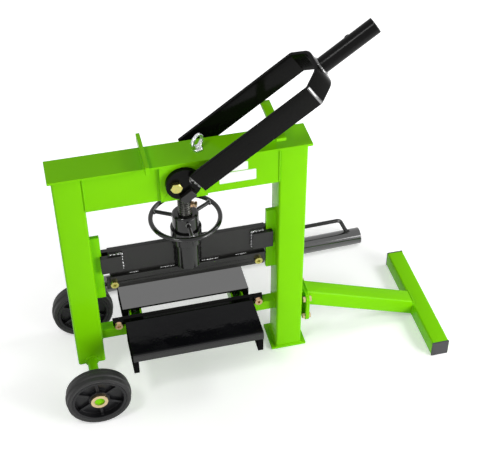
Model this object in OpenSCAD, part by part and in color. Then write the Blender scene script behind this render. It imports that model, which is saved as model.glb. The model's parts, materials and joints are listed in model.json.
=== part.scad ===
// Lever-operated masonry block splitter with an adjustable upper blade.
// X runs along the blades, Y from the operator's side to the back, Z up from the floor.
// The origin is on the floor, midway between the posts.

/* [Frame] */
// Side of the square post tube
post_w = 60; // [50:1:70]
// Wall of the post tube
post_wall = 4; // [3:0.5:6]
// Height of the open lower end of the left post above the floor
post_foot = 64; // [60:1:75]
// Height of the top beam's underside above the floor
beam_low = 499; // [490:1:520]
// Height of the top beam
beam_h = 85; // [84:1:100]
// Thickness of the two beam plates
beam_plate_t = 6; // [5:0.5:8]
// Thickness of the plate that closes the top of the frame
top_t = 5.4; // [4:0.2:8]
// How far the top plate reaches past the posts at each end
top_end = 7.5; // [2:0.5:15]
// Thickness of the stiffening cheeks at the middle of the beam, and reach of the top plate over the beam
cheek_t = 6; // [4:0.5:8]
// Width of the cheeks
cheek_w = 96; // [92:1:130]
// Width of the base plate under the right post
base_w = 82; // [70:1:110]
// Depth of the base plate
base_d = 79; // [72:1:110]
// Thickness of the base plate
base_t = 6; // [4:0.5:10]
// How far the base plate's centre lies behind the post's centre
base_back = 6; // [0:0.5:6]

/* [Guides] */
// Reach of a guide bar from the post
guide_w = 20; // [15:0.5:24]
// Thickness of a guide bar
guide_t = 10; // [8:0.5:12]
// Height of the left guide bar's lower end above the floor
guide_low = 235; // [215:1:240]
// Length of the left guide bar
guide_len = 170; // [165:1:185]
// How much shorter the right guide bar is at its lower end
guide_short = 8; // [0:1:10]
// Free space between a centred upper blade and each guide bar
blade_play = 4.9; // [4:0.1:8]

/* [Lower blade and tables] */
// Side of the square cross bar that carries the lower blade
cross_side = 25; // [20:1:32]
// Height of the cross bar's underside above the floor
cross_low = 116; // [112:1:118]
// How much shorter the lower blade is than the upper blade
lower_short = 5; // [1:0.5:15]
// Thickness of both blades
blade_t = 10; // [8:0.5:12]
// Height of the lower blade from its seat to its edge
lower_h = 19.4; // [18:0.2:24]
// Depth of the sloping faces that form a blade's edge
blade_bevel = 4; // [2:0.5:6]
// Thread diameter of the blades' cap screws
blade_bolt_d = 10; // [8:1:10]
// Distance of the cap screws from the blades' ends
blade_bolt_in = 11.5; // [11:0.5:16]
// How much shorter a table is than the upper blade
table_short = 57; // [55:1:69]
// Depth of a table, away from the blades
table_d = 103; // [98:1:120]
// Thickness of the table plate
table_t = 5; // [4:0.5:6]
// Height of the table's working face above the lower blade's edge
table_over = 1.3; // [0:0.1:3]
// Free space between each table and the blade's middle plane
table_gap = 20; // [19:0.5:24]
// Height of the folded outer lip of a table
table_lip = 20; // [12:1:25]
// Thickness of the bars at the table's ends
side_bar_t = 12; // [8:0.5:14]
// Height of the bars at the table's ends
side_bar_h = 55; // [30:1:60]
// Outer width of a table console channel
console_w = 28; // [26:0.5:30]
// Wall of a console channel
console_wall = 4; // [3:0.5:5]
// Distance of a console's outer wall from the table's end
console_in = 14; // [14:0.5:20]
// Shortfall of a console behind the table's outer edge
console_short = 30; // [26:1:40]
// Spring travel of the tables, down onto their consoles
table_travel = 6; // [2:0.5:8]
// Wire diameter of the table springs
spring_wire = 2.4; // [1.6:0.2:2.4]
// Mean diameter of the table springs
spring_d = 15; // [13:0.5:15]
// Number of turns in a table spring
spring_turns = 6; // [4:1:7]
// Thread diameter of the table's guide bolts
table_bolt_d = 8; // [6:1:8]

/* [Lever] */
// Distance of the lever's pivot to the left of the frame's middle
pivot_left = 18.1; // [15:0.1:22]
// Height of the lever's pivot above the beam's underside
pivot_up = 44.6; // [43:0.1:46]
// Diameter of the pivot bolt
pivot_d = 14; // [12:1:16]
// Slope of the lever at rest
lever_tilt = 36; // [30:1:42]
// Angle that the lever swings up from rest
lever_swing = 84; // [60:1:84]
// Distance of the crosshead pin from the pivot along the lever
pin_along = 4; // [0:0.1:5]
// Distance of the crosshead pin below the pivot, square to the lever
pin_drop = 33.7; // [32:0.1:34.4]
// Diameter of the crosshead pin
pin_d = 16; // [12:1:17]
// Radius of the lever's side discs
disc_r = 36.5; // [35:0.5:40]
// Thickness of the lever's side discs
disc_t = 10; // [8:0.5:12]
// Distance of the disc's centre from the pivot along the lever
disc_along = 13.5; // [8:0.5:14]
// Distance of the disc's centre below the pivot, square to the lever
disc_drop = 9.3; // [9:0.1:13]
// Width of the lever's flat bar
arm_w = 50; // [40:1:60]
// Thickness of the lever's flat bar
arm_t = 8; // [6:0.5:10]
// Clear width between the lever's arms
arm_gap = 112; // [110:1:118]
// Distance of the arms' welded ends from the pivot
arm_start = 40; // [38:1:46]
// Distance of the arms' bends from the pivot
arm_bend = 326; // [300:1:360]
// Length over which the arms close in to the nose
nose_run = 37; // [20:1:60]
// Width of the flat nose
nose_w = 66; // [50:1:90]
// Distance of the arms' middle line below the pivot, square to the lever
arm_drop = 15; // [12:0.5:18]
// Outer diameter of the lever's stub tube
stub_d = 33.7; // [30:0.1:35]
// Wall of the stub tube
stub_wall = 3.2; // [2:0.1:4]
// Length of the stub tube
stub_len = 130; // [90:1:180]
// Length of the keepers that hold the crosshead pin
keeper_l = 29; // [22:1:32]
// Width of the keepers
keeper_w = 19; // [18:0.5:22]
// Thickness of the keepers
keeper_t = 10; // [5:0.5:12]

/* [Lever rests and lifting eye] */
// Distance of the left rest's middle to the left of the frame's middle
rest_left_x = 73; // [70:1:110]
// Height of the left rest
rest_left_h = 19; // [12:1:22]
// Thickness of the left rest
rest_left_t = 8; // [6:0.5:10]
// Length of the left rest across the frame
rest_left_len = 116; // [116:1:140]
// Distance of the right rest's left edge to the left of the right post's middle
rest_right_in = 47.4; // [30:0.2:77]
// Length of the right rest across the frame
rest_right_len = 132; // [116:1:150]
// Width of the right rest
rest_right_w = 20; // [15:1:30]
// Thickness of the right rest
rest_right_t = 7; // [5:0.5:10]
// Side of the right rest's upright
upright_w = 12; // [8:1:15]
// Distance of the lifting eye to the right of the frame's middle
eye_x = 36.5; // [20:0.5:90]
// Outer diameter of the lifting eye's ring
eye_d = 36; // [32:1:44]
// Diameter of the ring's bar
eye_bar = 9; // [6:0.5:10]
// Turn of the ring about the vertical
eye_turn = 40; // [0:5:180]

/* [Spindle and handwheel] */
// Outer diameter of the spindle's thread
spindle_d = 30; // [24:1:30]
// Pitch of the spindle's thread
pitch = 6; // [5:0.5:6]
// Depth of the spindle's thread
thread_h = 2.2; // [1:0.1:2.5]
// Height of the spindle's lower end above the upper plate's lower edge
spindle_up = 22; // [16:1:28]
// Height of the stop screw above the spindle's lower end
stop_up = 139; // [137:1:150]
// Direction in which the stop screw points
stop_turn = -20; // [-60:1:0]
// Diameter of the handwheel's nut
nut_d = 56; // [54:1:60]
// Height of the handwheel's nut
nut_h = 39; // [30:1:41]
// Outer diameter of the handwheel
wheel_d = 155; // [130:1:170]
// Diameter of the handwheel's rim bar
rim_bar = 10; // [8:0.5:12]
// Diameter of the handwheel's spokes
spoke_d = 8.5; // [6:0.5:9]
// Number of handwheel spokes
spokes = 3; // [3:1:4]
// Direction of the first spoke
spoke_turn = 31; // [0:1:119]
// Height of the rim above the nut's lower face
rim_up = 24; // [12:1:28]

/* [Upper blade] */
// Height of the blade holder's underside above the floor
holder_low = 271; // [265:1:285]
// Side of the square blade holder
holder_side = 25; // [22:0.5:28]
// Length of the upper blade, which the width of the frame and the tables follow
blade_len = 345; // [300:1:400]
// How much shorter the upper beam plate and the blade holder are than the blade
holder_short = 7; // [5:0.5:15]
// Distance of the upper blade's middle to the left of the spindle
blade_left = 4.5; // [2:0.5:5]
// Height of the upper beam plate
upper_plate_h = 70; // [64:1:80]
// Running clearance between the guide blocks and a guide bar
guide_clear = 0.4; // [0.3:0.1:0.8]
// Reach of the upper blade below its holder
upper_reach = 18; // [12:1:24]
// Depth of the groove that holds the upper blade
groove_h = 14; // [12:0.5:15]
// Length of a guide block along the beam
block_len = 45; // [40:1:55]
// Height of a guide block
block_h = 43; // [34:1:50]
// Thickness of a guide block
block_t = 10; // [8:0.5:12]
// Height of the guide blocks above the upper plate's lower edge
block_up = 15; // [5:1:20]
// How far a guide block reaches past the plate's end
block_past = 16.5; // [12:0.5:18]
// Outer diameter of the spindle socket
socket_d = 56; // [50:1:60]
// Outer diameter of the collar round the handwheel nut
collar_d = 66; // [64:1:74]
// Height of the collar
collar_h = 35; // [28:1:40]
// Length of socket that sits inside the collar
collar_lap = 5; // [3:0.5:6]

/* [Wheels] */
// Outer diameter of a wheel
tyre_d = 142; // [134:1:150]
// Width of a wheel
tyre_w = 37; // [30:1:45]
// Distance between the wheels' middle planes
track = 268; // [240:1:300]
// Diameter of the axle
axle_d = 22; // [16:1:24]
// Diameter of the wheel's plastic centre
rim_d = 118; // [100:1:122]
// Number of ribs on a wheel's face
ribs = 6; // [4:1:8]
// Width of the wheel's hub
hub_w = 24; // [20:1:30]
// Depth of the step in the tread
tread_step = 2.5; // [1:0.5:4]
// Depth of the tyre's sloped shoulder
shoulder = 6; // [4:0.5:8]
// Direction of the first rib
rib_turn = 27; // [0:1:119]
// Outer diameter of the collars that hold a wheel on the axle
stop_d = 37; // [30:1:38]
// Width of those collars
stop_w = 6; // [5:0.5:10]
// How far the axle's ends lie inside their collars
axle_in = 4; // [0:0.5:4]

/* [Foot] */
// Side of the square foot tube
foot_side = 40; // [30:1:45]
// Wall of the foot tube
foot_wall = 3; // [2:0.5:4]
// Distance of the foot's middle plane behind the posts' middle plane
foot_back = 9; // [0:0.5:12]
// Length of the packing piece between the post and the flange
flange_off = 10; // [9:0.5:14]
// Width of the flange plates
flange_w = 80; // [76:1:90]
// Height of the flange plates
flange_h = 78; // [70:1:90]
// Corner radius of the flange plates
flange_r = 14; // [6:1:16]
// Thickness of each flange plate
flange_t = 4; // [3:0.5:8]
// Height of the flange's middle above the floor
flange_z = 109.5; // [100:0.5:115]
// Distance between the foot bolts across the flange
foot_bolt_y = 60; // [56:1:60]
// Distance between the foot bolts up the flange
foot_bolt_z = 53; // [50:1:53]
// Thread diameter of the foot bolts
foot_bolt_d = 8; // [8:1:10]
// Height of the leg's middle line at the flange
leg_z = 126.5; // [110:0.5:128]
// Height of the leg's middle line at the crossbar
leg_end_z = 29; // [22:0.5:30]
// Distance of the crossbar's near face from the frame's middle
bar_x = 541; // [500:1:600]
// Length of the crossbar with its caps
bar_len = 319; // [250:1:360]
// How far the crossbar's middle lies behind the leg's middle plane
bar_back = 9; // [0:0.5:20]
// Thickness of the crossbar's end caps
cap_t = 4; // [2:0.5:6]

/* [Extension tube] */
// Outer diameter of the extension tube
ext_d = 42.4; // [42.4:0.1:48.3]
// Wall of the extension tube
ext_wall = 3.2; // [2:0.1:3.4]
// Length of the extension tube
ext_len = 700; // [620:5:900]
// Distance of the extension tube's right end to the right of the frame's middle
ext_right = 500; // [460:1:560]
// Distance of that end behind the posts' middle plane
ext_back = 278; // [260:1:320]
// Turn of the extension tube on the floor
ext_turn = 1.9; // [0:0.1:6]
// Diameter of the handle's rod
grip_d = 10; // [8:0.5:12]
// Clear height of the handle's rod above the tube's middle line
grip_up = 64; // [45:1:80]
// Distance of the handle's right foot from the tube's right end
grip_in = 34; // [20:1:60]
// Length of the handle between its feet
grip_len = 170; // [140:1:220]
// Lean of the handle's legs along the tube
grip_lean = 21; // [0:1:30]

/* [Hidden] */

$fn = 64;
// Small overlap that keeps cuts clean
cut = 1;
// Clearance of a screw in its hole, on the radius
hole_clear = 0.25;
// Running clearance of a pin or shaft in its bore, on the radius
run_clear = 0.05;
// Clearance between faces that move past each other
face_clear = 0.4;
// Clearance between pieces that only stand next to each other
seat_clear = 0.1;
// Seam between a piece and the round piece that it is welded to
seam = 0.02;
// Clearance between the lever's discs and the frame's head
disc_clear = 1;
// How far the handle's bends stand proud of its rod
knuckle = 1;

green = "limegreen";
black = "#222222";
zinc = "#c8a548";
bright = "silver";

post_gap = blade_len + 2 * (guide_w + blade_play);
upper_len = blade_len - holder_short;
lower_len = blade_len - lower_short;
table_len = blade_len - table_short;
post_x = post_gap / 2 + post_w / 2;
post_half = post_w / 2;
beam_top = beam_low + beam_h;
top_z = beam_top + top_t;
beam_in = post_half - beam_plate_t;
cheek_y = post_half + cheek_t;

pivot_x = -pivot_left;
pivot_z = beam_low + pivot_up;
pin_x = pivot_x + pin_along * cos(lever_tilt) + pin_drop * sin(lever_tilt);
pin_z = pivot_z + pin_along * sin(lever_tilt) - pin_drop * cos(lever_tilt);
pin_reach = norm([pin_x - pivot_x, pin_z - pivot_z]);
pin_angle = atan2(pin_z - pivot_z, pin_x - pivot_x);
disc_y = cheek_y + disc_clear;
disc_out = disc_y + disc_t;
arm_y = arm_gap / 2;
boss_r = arm_w * 0.28;
boss_along = arm_start + 2;
arm_low = arm_drop + arm_w / 2;

// Lift and sideways shift of the crosshead pin at a lever angle
function pin_lift(a) = pin_reach * (sin(pin_angle + a) - sin(pin_angle));
function pin_shift(a) = pin_reach * (cos(pin_angle + a) - cos(pin_angle));
stroke = pin_lift(lever_swing);
swing_steps = [0:lever_swing / 40:lever_swing];
pin_rise = max([for (a = swing_steps) pin_lift(a) - stroke * a / lever_swing]);
pin_lag = max([for (a = swing_steps) stroke * a / lever_swing - pin_lift(a)]);
pin_right = max([for (a = swing_steps) pin_shift(a)]);
pin_left = -min([for (a = swing_steps) pin_shift(a)]);
echo(stroke = stroke, metres_per_radian = stroke / 1000 / (lever_swing * PI / 180));
echo(pin = [pin_x, pin_z], pivot = [pivot_x, pivot_z], top = top_z);

window_up = pin_d / 2 + pin_rise + face_clear;
window_down = pin_d / 2 + pin_lag + face_clear;
window_left = pin_d / 2 + pin_left + face_clear;
window_right = pin_d / 2 + pin_right + face_clear;
strap_t = 5;
crosshead_wall = 6;
crosshead_sole = 9;
crosshead_clear = 1.2;
crosshead_left = min(window_left + crosshead_wall, pin_x - pivot_x - pivot_d / 2 - crosshead_clear);
crosshead_y = beam_in - crosshead_clear;
crosshead_low = pin_z - window_down - crosshead_sole;
slot_r = pin_d / 2 + 2;
slot_more = asin(slot_r / pin_reach);

upper_x = pin_x - blade_left;
plate_y = guide_t / 2 + guide_clear;
plate_low = holder_low + holder_side;
spindle_low = plate_low + spindle_up;
socket_top = plate_low + upper_plate_h;
collar_low = socket_top - collar_lap;
collar_top = collar_low + collar_h;
nut_low = collar_top + face_clear;
nut_top = nut_low + nut_h;
socket_bore = spindle_d / 2 + 1;
nut_edge = 4;
spigot_r = (socket_d + spindle_d) / 4 + nut_edge;
spigot_low = socket_top + 1;
groove_z = (spigot_low + nut_low) / 2;
nut_groove_h = 9;
nut_groove_r = spigot_r - 3.5;
screw_r = 4;
screw_turns = [-70, 110];
block_z = plate_low + block_up;

cross_top = cross_low + cross_side;
cross_y = cross_side / 2;
edge_z = cross_top + lower_h;
table_top = edge_z + table_over;
table_under = table_top - table_t;
table_out = table_gap + table_d;
console_low = cross_low;
console_mid = table_len / 2 - console_in - console_w / 2;
spring_y = (cross_y + table_out - console_short) / 2;
spring_low = console_low + console_wall;
spring_h = table_under - spring_low;
console_h = table_under - table_travel - face_clear - console_low;
lower_bolt_x = lower_len / 2 - blade_bolt_in;
lower_bolt_z = cross_top + lower_h / 2;
upper_bolt_x = upper_len / 2 - blade_bolt_in;
upper_bolt_z = holder_low + blade_bolt_d * 0.7;

wheel_z = tyre_d / 2;
hub_edge = 4;
hub_r = stop_d / 2 + hub_edge;
rim_r = rim_d / 2;
// Thickness of the web between hub and rim, and how far the tyre's sides are drawn in
web = 3;
side_in = 2;
axle_end = track / 2 + hub_w / 2 + face_clear + stop_w - axle_in;

flange_x = post_x + post_half + flange_off;
leg_x = flange_x + 2 * flange_t;
bar_z = foot_side / 2;
bar_y = foot_back + bar_back;
leg_slope = atan2(leg_z - leg_end_z, bar_x - leg_x);

// Across-flats width and head height of a hexagon bolt, nut height
function across_flats(d) = d * 1.5 + 0.5;
function head_h(d) = d * 0.64;
function nut_height(d) = d * 0.8;

// Diameter and height of a cap screw's head, across-flats width of its socket
function cap_d(d) = d * 1.5 + 2;
function cap_h(d) = d * 0.7;
function socket_flats(d) = d * 0.7;

// Points of a path moved sideways by t, with mitred corners
function unit(v) = v / norm(v);
function left_of(v) = [-v[1], v[0]];
function side_dir(pts, i) =
  let (
    before = i == 0 ? undef : left_of(unit(pts[i] - pts[i - 1])),
    after = i == len(pts) - 1 ? undef : left_of(unit(pts[i + 1] - pts[i]))
  )
  i == 0 ? after : i == len(pts) - 1 ? before : (before + after) / (1 + before * after);
function moved(pts, t) = [for (i = [0:len(pts) - 1]) pts[i] + t * side_dir(pts, i)];
function flipped(pts) = [for (i = [len(pts) - 1:-1:0]) pts[i]];

module box(x0, x1, y0, y1, z0, z1) {
  translate([x0, y0, z0]) cube([x1 - x0, y1 - y0, z1 - z0]);
}

// Outline of a plate with rounded corners about its middle
function round_outline(w, h, r) = [
  for (k = [0:3], a = [0:15:90])
    let (across = k == 0 || k == 3 ? w / 2 - r : r - w / 2, up = k < 2 ? h / 2 - r : r - h / 2)
      [across + r * cos(90 * k + a), up + r * sin(90 * k + a)]
];

// Round bar along Y between two planes
module rod_y(r, y0, y1, x = 0, z = 0, sides = $fn) {
  translate([x, y1, z]) rotate([90, 0, 0]) cylinder(r = r, h = y1 - y0, $fn = sides);
}

// Round bar along X between two planes
module rod_x(r, x0, x1, y = 0, z = 0, sides = $fn) {
  translate([x0, y, z]) rotate([0, 90, 0]) cylinder(r = r, h = x1 - x0, $fn = sides);
}

// Round bar along Z between two planes
module rod_z(r, z0, z1, x = 0, y = 0, sides = $fn) {
  translate([x, y, z0]) cylinder(r = r, h = z1 - z0, $fn = sides);
}

// Hexagon with a given width across its flats
module hexagon(flats, z0, z1) {
  rod_z(flats / 2 / cos(30), z0, z1, sides = 6);
}

// Hexagon bolt along Z with its head's seat at 0, its nut's seat at -grip and its end past the nut
module bolt(d, grip, past) {
  hexagon(across_flats(d), 0, head_h(d));
  rod_z(d / 2, -grip - nut_height(d) - past, seam);
  hexagon(across_flats(d), -grip - nut_height(d), -grip);
}

// Socket-head cap screw along Z with its head's seat at 0
module cap_screw(d, length) {
  rod_z(d / 2, -length, seam);
  difference() {
    rod_z(cap_d(d) / 2, 0, cap_h(d));
    hexagon(socket_flats(d), cap_h(d) / 2, cap_h(d) + cut);
  }
}

// Pieces that turn with the lever, drawn with the lever lying along +X from its pivot
module on_lever() {
  translate([pivot_x, 0, pivot_z]) rotate([0, -lever_tilt, 0]) children();
}

// Curved slot along which the crosshead pin swings
module pin_slot(y0, y1) {
  translate([pivot_x, y1, pivot_z]) rotate([90, 0, 0]) rotate([0, 0, pin_angle - slot_more]) {
    rotate_extrude(angle = lever_swing + 2 * slot_more) {
      translate([pin_reach - slot_r, 0]) square([2 * slot_r, y1 - y0]);
    }
  }
}

// Square tube standing along Z, centred on the axis
module square_tube(side, wall, z0, z1) {
  difference() {
    box(-side / 2, side / 2, -side / 2, side / 2, z0, z1);
    box(wall - side / 2, side / 2 - wall, wall - side / 2, side / 2 - wall, z0 - cut, z1 + cut);
  }
}

// Frame

module left_post() {
  color(green) difference() {
    translate([-post_x, 0, 0]) square_tube(post_w, post_wall, post_foot, beam_top);
    rod_y(axle_d / 2 + seat_clear, -post_w, post_w, -post_x, wheel_z);
  }
}

module right_post() {
  color(green) translate([post_x, 0, 0]) square_tube(post_w, post_wall, base_t, beam_top);
}

module base_plate() {
  color(green) box(
    post_x - base_w / 2, post_x + base_w / 2, base_back - base_d / 2, base_back + base_d / 2, 0, base_t
  );
}

module beam_plate(y0) {
  color(green) difference() {
    box(-post_gap / 2, post_gap / 2, y0, y0 + beam_plate_t, beam_low, beam_top);
    rod_y(pivot_d / 2 + hole_clear, y0 - cut, y0 + beam_plate_t + cut, pivot_x, pivot_z);
    pin_slot(y0 - cut, y0 + beam_plate_t + cut);
  }
}

module beam_front_plate() {
  beam_plate(-post_half);
}

module beam_rear_plate() {
  beam_plate(beam_in);
}

module top_plate() {
  reach = post_x + post_half + top_end;
  color(green) box(-reach, reach, -cheek_y, cheek_y, beam_top, top_z);
}

module head_cheeks() {
  color(green) for (side = [0, 1]) mirror([0, side, 0]) difference() {
    box(-cheek_w / 2, cheek_w / 2, -cheek_y, -post_half, beam_low, beam_top);
    rod_y(pivot_d / 2 + hole_clear, -cheek_y - cut, cut - post_half, pivot_x, pivot_z);
    pin_slot(-cheek_y - cut, cut - post_half);
  }
}

module guide(x0, low) {
  color(green) box(x0, x0 + guide_w, -guide_t / 2, guide_t / 2, low, guide_low + guide_len);
}

module left_guide() {
  guide(-post_gap / 2, guide_low);
}

module right_guide() {
  guide(post_gap / 2 - guide_w, guide_low + guide_short);
}

// Lower blade and its bar

module cross_bar() {
  color(green) box(-post_gap / 2, post_gap / 2, -cross_y, cross_y, cross_low, cross_top);
}

// Blade with a straight back and a V edge, along X, edge up, back at 0
module blade(length, height) {
  t = blade_t / 2;
  flat = 1;
  low = height - blade_bevel;
  profile = [[-t, 0], [t, 0], [t, low], [flat, height], [-flat, height], [-t, low]];
  translate([-length / 2, 0, 0]) rotate([90, 0, 90]) linear_extrude(length) polygon(profile);
}

module lower_bolt_holes() {
  for (x = [-lower_bolt_x, lower_bolt_x]) {
    rod_y(blade_bolt_d / 2 + hole_clear, -post_w, post_w, x, lower_bolt_z);
  }
}

// Lugs in front of the lower blade, welded to the cross bar
module blade_lugs() {
  w = cap_d(blade_bolt_d) / 2 + 1;
  color(black) difference() {
    for (x = [-lower_bolt_x, lower_bolt_x]) {
      box(x - w, x + w, -cross_y, -blade_t / 2, cross_top, edge_z - blade_bevel);
    }
    lower_bolt_holes();
  }
}

module lower_blade() {
  color(black) difference() {
    translate([0, 0, cross_top]) blade(lower_len, lower_h);
    lower_bolt_holes();
  }
}

module lower_blade_bolts() {
  color(zinc) for (x = [-lower_bolt_x, lower_bolt_x]) {
    translate([x, -cross_y, lower_bolt_z]) rotate([90, 0, 0]) cap_screw(blade_bolt_d, cross_y + blade_t / 2 - 1);
  }
}

// Tables

module table_consoles() {
  reach = table_out - console_short;
  w = console_w / 2;
  color(green) for (x = [-console_mid, console_mid], side = [0, 1]) mirror([0, side, 0]) difference() {
    box(x - w, x + w, cross_y, reach, console_low, console_low + console_h);
    box(x - w + console_wall, x + w - console_wall, cross_y - cut, reach + cut, spring_low, table_top);
    rod_z(table_bolt_d / 2 + 2 * hole_clear, 0, table_top, x, spring_y);
  }
}

module table() {
  color(black) {
    box(-table_len / 2, table_len / 2, table_gap, table_out, table_under, table_top);
    box(-table_len / 2, table_len / 2, table_out - table_t, table_out, table_top - table_lip, table_top);
  }
}

module table_sides() {
  color(black) for (side = [0, 1]) mirror([side, 0, 0]) {
    box(
      table_len / 2 - side_bar_t, table_len / 2, table_gap, table_out - table_t,
      table_under - side_bar_h, table_under
    );
  }
}

module table_bolts() {
  nut_z = console_low - face_clear;
  color(zinc) for (x = [-console_mid, console_mid]) translate([x, spring_y, 0]) {
    rod_z(table_bolt_d / 2, nut_z - nut_height(table_bolt_d) - 2, table_under);
    translate([0, 0, nut_z]) hexagon(across_flats(table_bolt_d), -nut_height(table_bolt_d), 0);
  }
}

// Compression spring as one unbroken tube, with flat closed-in ends at 0 and spring_h
spring_sides = 6;
spring_rings = 8 * spring_turns;
function spring_centre(i) =
  let (a = 360 * spring_turns * i / spring_rings, r = spring_d / 2)
  [r * cos(a), r * sin(a), spring_wire / 2 + (spring_h - spring_wire) * i / spring_rings];
function spring_ring(i) =
  let (a = 360 * spring_turns * i / spring_rings)
  [for (s = [0:spring_sides - 1])
    let (b = 360 * s / spring_sides, r = spring_wire / 2)
    spring_centre(i) + [r * cos(b) * cos(a), r * cos(b) * sin(a), r * sin(b)]];
spring_gap = min([
  for (i = [0:spring_rings - 8])
    for (j = [i + 6:min(i + 10, spring_rings)]) norm(spring_centre(i) - spring_centre(j))
]) - spring_wire;
echo(spring_gap = spring_gap);

module spring() {
  n = spring_sides;
  points = [for (i = [0:spring_rings]) each spring_ring(i)];
  walls = [
    for (i = [0:spring_rings - 1])
      for (s = [0:n - 1])
        let (p = i * n + s, q = i * n + (s + 1) % n)
        each [[p, p + n, q], [q, p + n, q + n]]
  ];
  first = [for (s = [1:n - 2]) [0, s, s + 1]];
  end = spring_rings * n;
  last = [for (s = [1:n - 2]) [end, end + s + 1, end + s]];
  polyhedron(points, concat(walls, first, last));
}

module table_springs() {
  color(bright) for (x = [-console_mid, console_mid]) translate([x, spring_y, spring_low]) spring();
}

module rear_table() {
  table();
}

module rear_table_sides() {
  table_sides();
}

module rear_table_bolts() {
  table_bolts();
}

module rear_table_springs() {
  table_springs();
}

module front_table() {
  mirror([0, 1, 0]) table();
}

module front_table_sides() {
  mirror([0, 1, 0]) table_sides();
}

module front_table_bolts() {
  mirror([0, 1, 0]) table_bolts();
}

module front_table_springs() {
  mirror([0, 1, 0]) table_springs();
}

// Lever

module pivot_bolt() {
  seat = disc_out + face_clear;
  color(zinc) translate([pivot_x, -seat, pivot_z]) rotate([90, 0, 0]) bolt(pivot_d, 2 * seat, 2);
}

module lever_fork() {
  end_y = arm_y + arm_t;
  nose_x = arm_bend + nose_run;
  path = [
    [arm_start, -end_y], [arm_bend, -end_y], [nose_x, -nose_w / 2],
    [nose_x, nose_w / 2], [arm_bend, end_y], [arm_start, end_y]
  ];
  color(black) on_lever() translate([0, 0, -arm_low]) linear_extrude(arm_w) {
    polygon(concat(path, flipped(moved(path, arm_t))));
  }
}

// Side discs, each with the boss that carries its arm
module lever_discs() {
  color(black) on_lever() for (side = [0, 1]) mirror([0, side, 0]) {
    difference() {
      rod_y(disc_r, disc_y, disc_out, disc_along, -disc_drop);
      rod_y(pivot_d / 2 + run_clear, disc_y - cut, disc_out + cut);
      rod_y(pin_d / 2 + seat_clear, disc_y - cut, disc_out + cut, pin_along, -pin_drop);
    }
    rod_y(boss_r, disc_out - cut, arm_y, boss_along, -arm_drop);
  }
}

module lever_stub_tube() {
  nose_x = arm_bend + nose_run;
  color(black) on_lever() difference() {
    rod_x(stub_d / 2, nose_x, nose_x + stub_len, 0, -arm_drop);
    rod_x(stub_d / 2 - stub_wall, nose_x - cut, nose_x + stub_len + cut, 0, -arm_drop);
  }
}

module crosshead_pin() {
  color(bright) on_lever() rod_y(pin_d / 2, -disc_out, disc_out, pin_along, -pin_drop);
}

module pin_keepers() {
  color(black) on_lever() for (side = [0, 1]) mirror([0, side, 0]) {
    box(
      pin_along - keeper_l / 2, pin_along + keeper_l / 2, disc_out, disc_out + keeper_t,
      -pin_drop - keeper_w / 2, -pin_drop + keeper_w / 2
    );
  }
}

// Rests and lifting eye

module left_rest() {
  t = rest_left_t / 2;
  color(green) box(
    -rest_left_x - t, t - rest_left_x, -rest_left_len / 2, rest_left_len / 2, top_z, top_z + rest_left_h
  );
}

// Height of the resting lever's lower edge above a point on X
function arm_edge(x) =
  pivot_z + (x - pivot_x) * tan(lever_tilt) - arm_low / cos(lever_tilt);
rest_right_x = post_x - rest_right_in;
rest_right_top = arm_edge(rest_right_x) - face_clear;

module right_rest() {
  color(green) box(
    rest_right_x, rest_right_x + rest_right_w, -rest_right_len / 2, rest_right_len / 2,
    rest_right_top - rest_right_t, rest_right_top
  );
}

module rest_upright() {
  x = rest_right_x + rest_right_w / 2;
  w = upright_w / 2;
  color(green) box(x - w, x + w, -w, w, top_z, rest_right_top - rest_right_t);
}

module lifting_eye() {
  r = eye_bar / 2;
  base_h = eye_bar * 0.7;
  color(bright) translate([eye_x, 0, top_z]) {
    cylinder(r = eye_bar * 1.2, h = base_h);
    translate([0, 0, base_h / 3 + eye_d / 2]) rotate([90, 0, eye_turn]) {
      rotate_extrude() translate([eye_d / 2 - r, 0]) circle(r = r, $fn = 32);
    }
  }
}

// Spindle and crosshead

// Things placed along the stop screw, which runs out from the spindle's middle along +Z
module on_stop() {
  translate([pin_x, 0, spindle_low + stop_up]) rotate([0, 90, stop_turn]) children();
}

// Stop screw with its lock nut against the spindle and its head a little further out
module stop_screw() {
  d = spindle_d / 4;
  seat = spindle_d / 2 - thread_h;
  nut_end = seat + nut_height(d);
  head = nut_end + 2;
  color(zinc) on_stop() {
    rod_z(d / 2, 0, head + seam);
    hexagon(across_flats(d), seat, nut_end);
    hexagon(across_flats(d), head, head + head_h(d));
  }
}

module spindle() {
  r = spindle_d / 2;
  top = crosshead_low;
  turns = floor((top - spindle_low) / pitch);
  groove = [for (i = [0:turns - 1]) let (z = spindle_low + i * pitch) each [
    [r - thread_h, z], [r - thread_h, z + pitch * 0.3],
    [r, z + pitch * 0.5], [r, z + pitch * 0.8]
  ]];
  last_z = spindle_low + turns * pitch;
  profile = concat([[0, spindle_low]], groove, [[r - thread_h, last_z], [r - thread_h, top], [0, top]]);
  color(black) difference() {
    translate([pin_x, 0, 0]) rotate_extrude() polygon(profile);
    on_stop() {
      rod_z(spindle_d / 8 + hole_clear, -seam, spindle_d);
      rod_z(spindle_d / 4 + 1, r - thread_h, spindle_d);
    }
  }
}

module crosshead() {
  color(black) translate([pin_x, 0, 0]) difference() {
    box(
      -crosshead_left, window_right + crosshead_wall, -crosshead_y, crosshead_y,
      crosshead_low, pin_z + window_up + strap_t
    );
    box(
      -window_left, window_right, -crosshead_y - cut, crosshead_y + cut,
      pin_z - window_down, pin_z + window_up
    );
  }
}

// Handwheel

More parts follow.
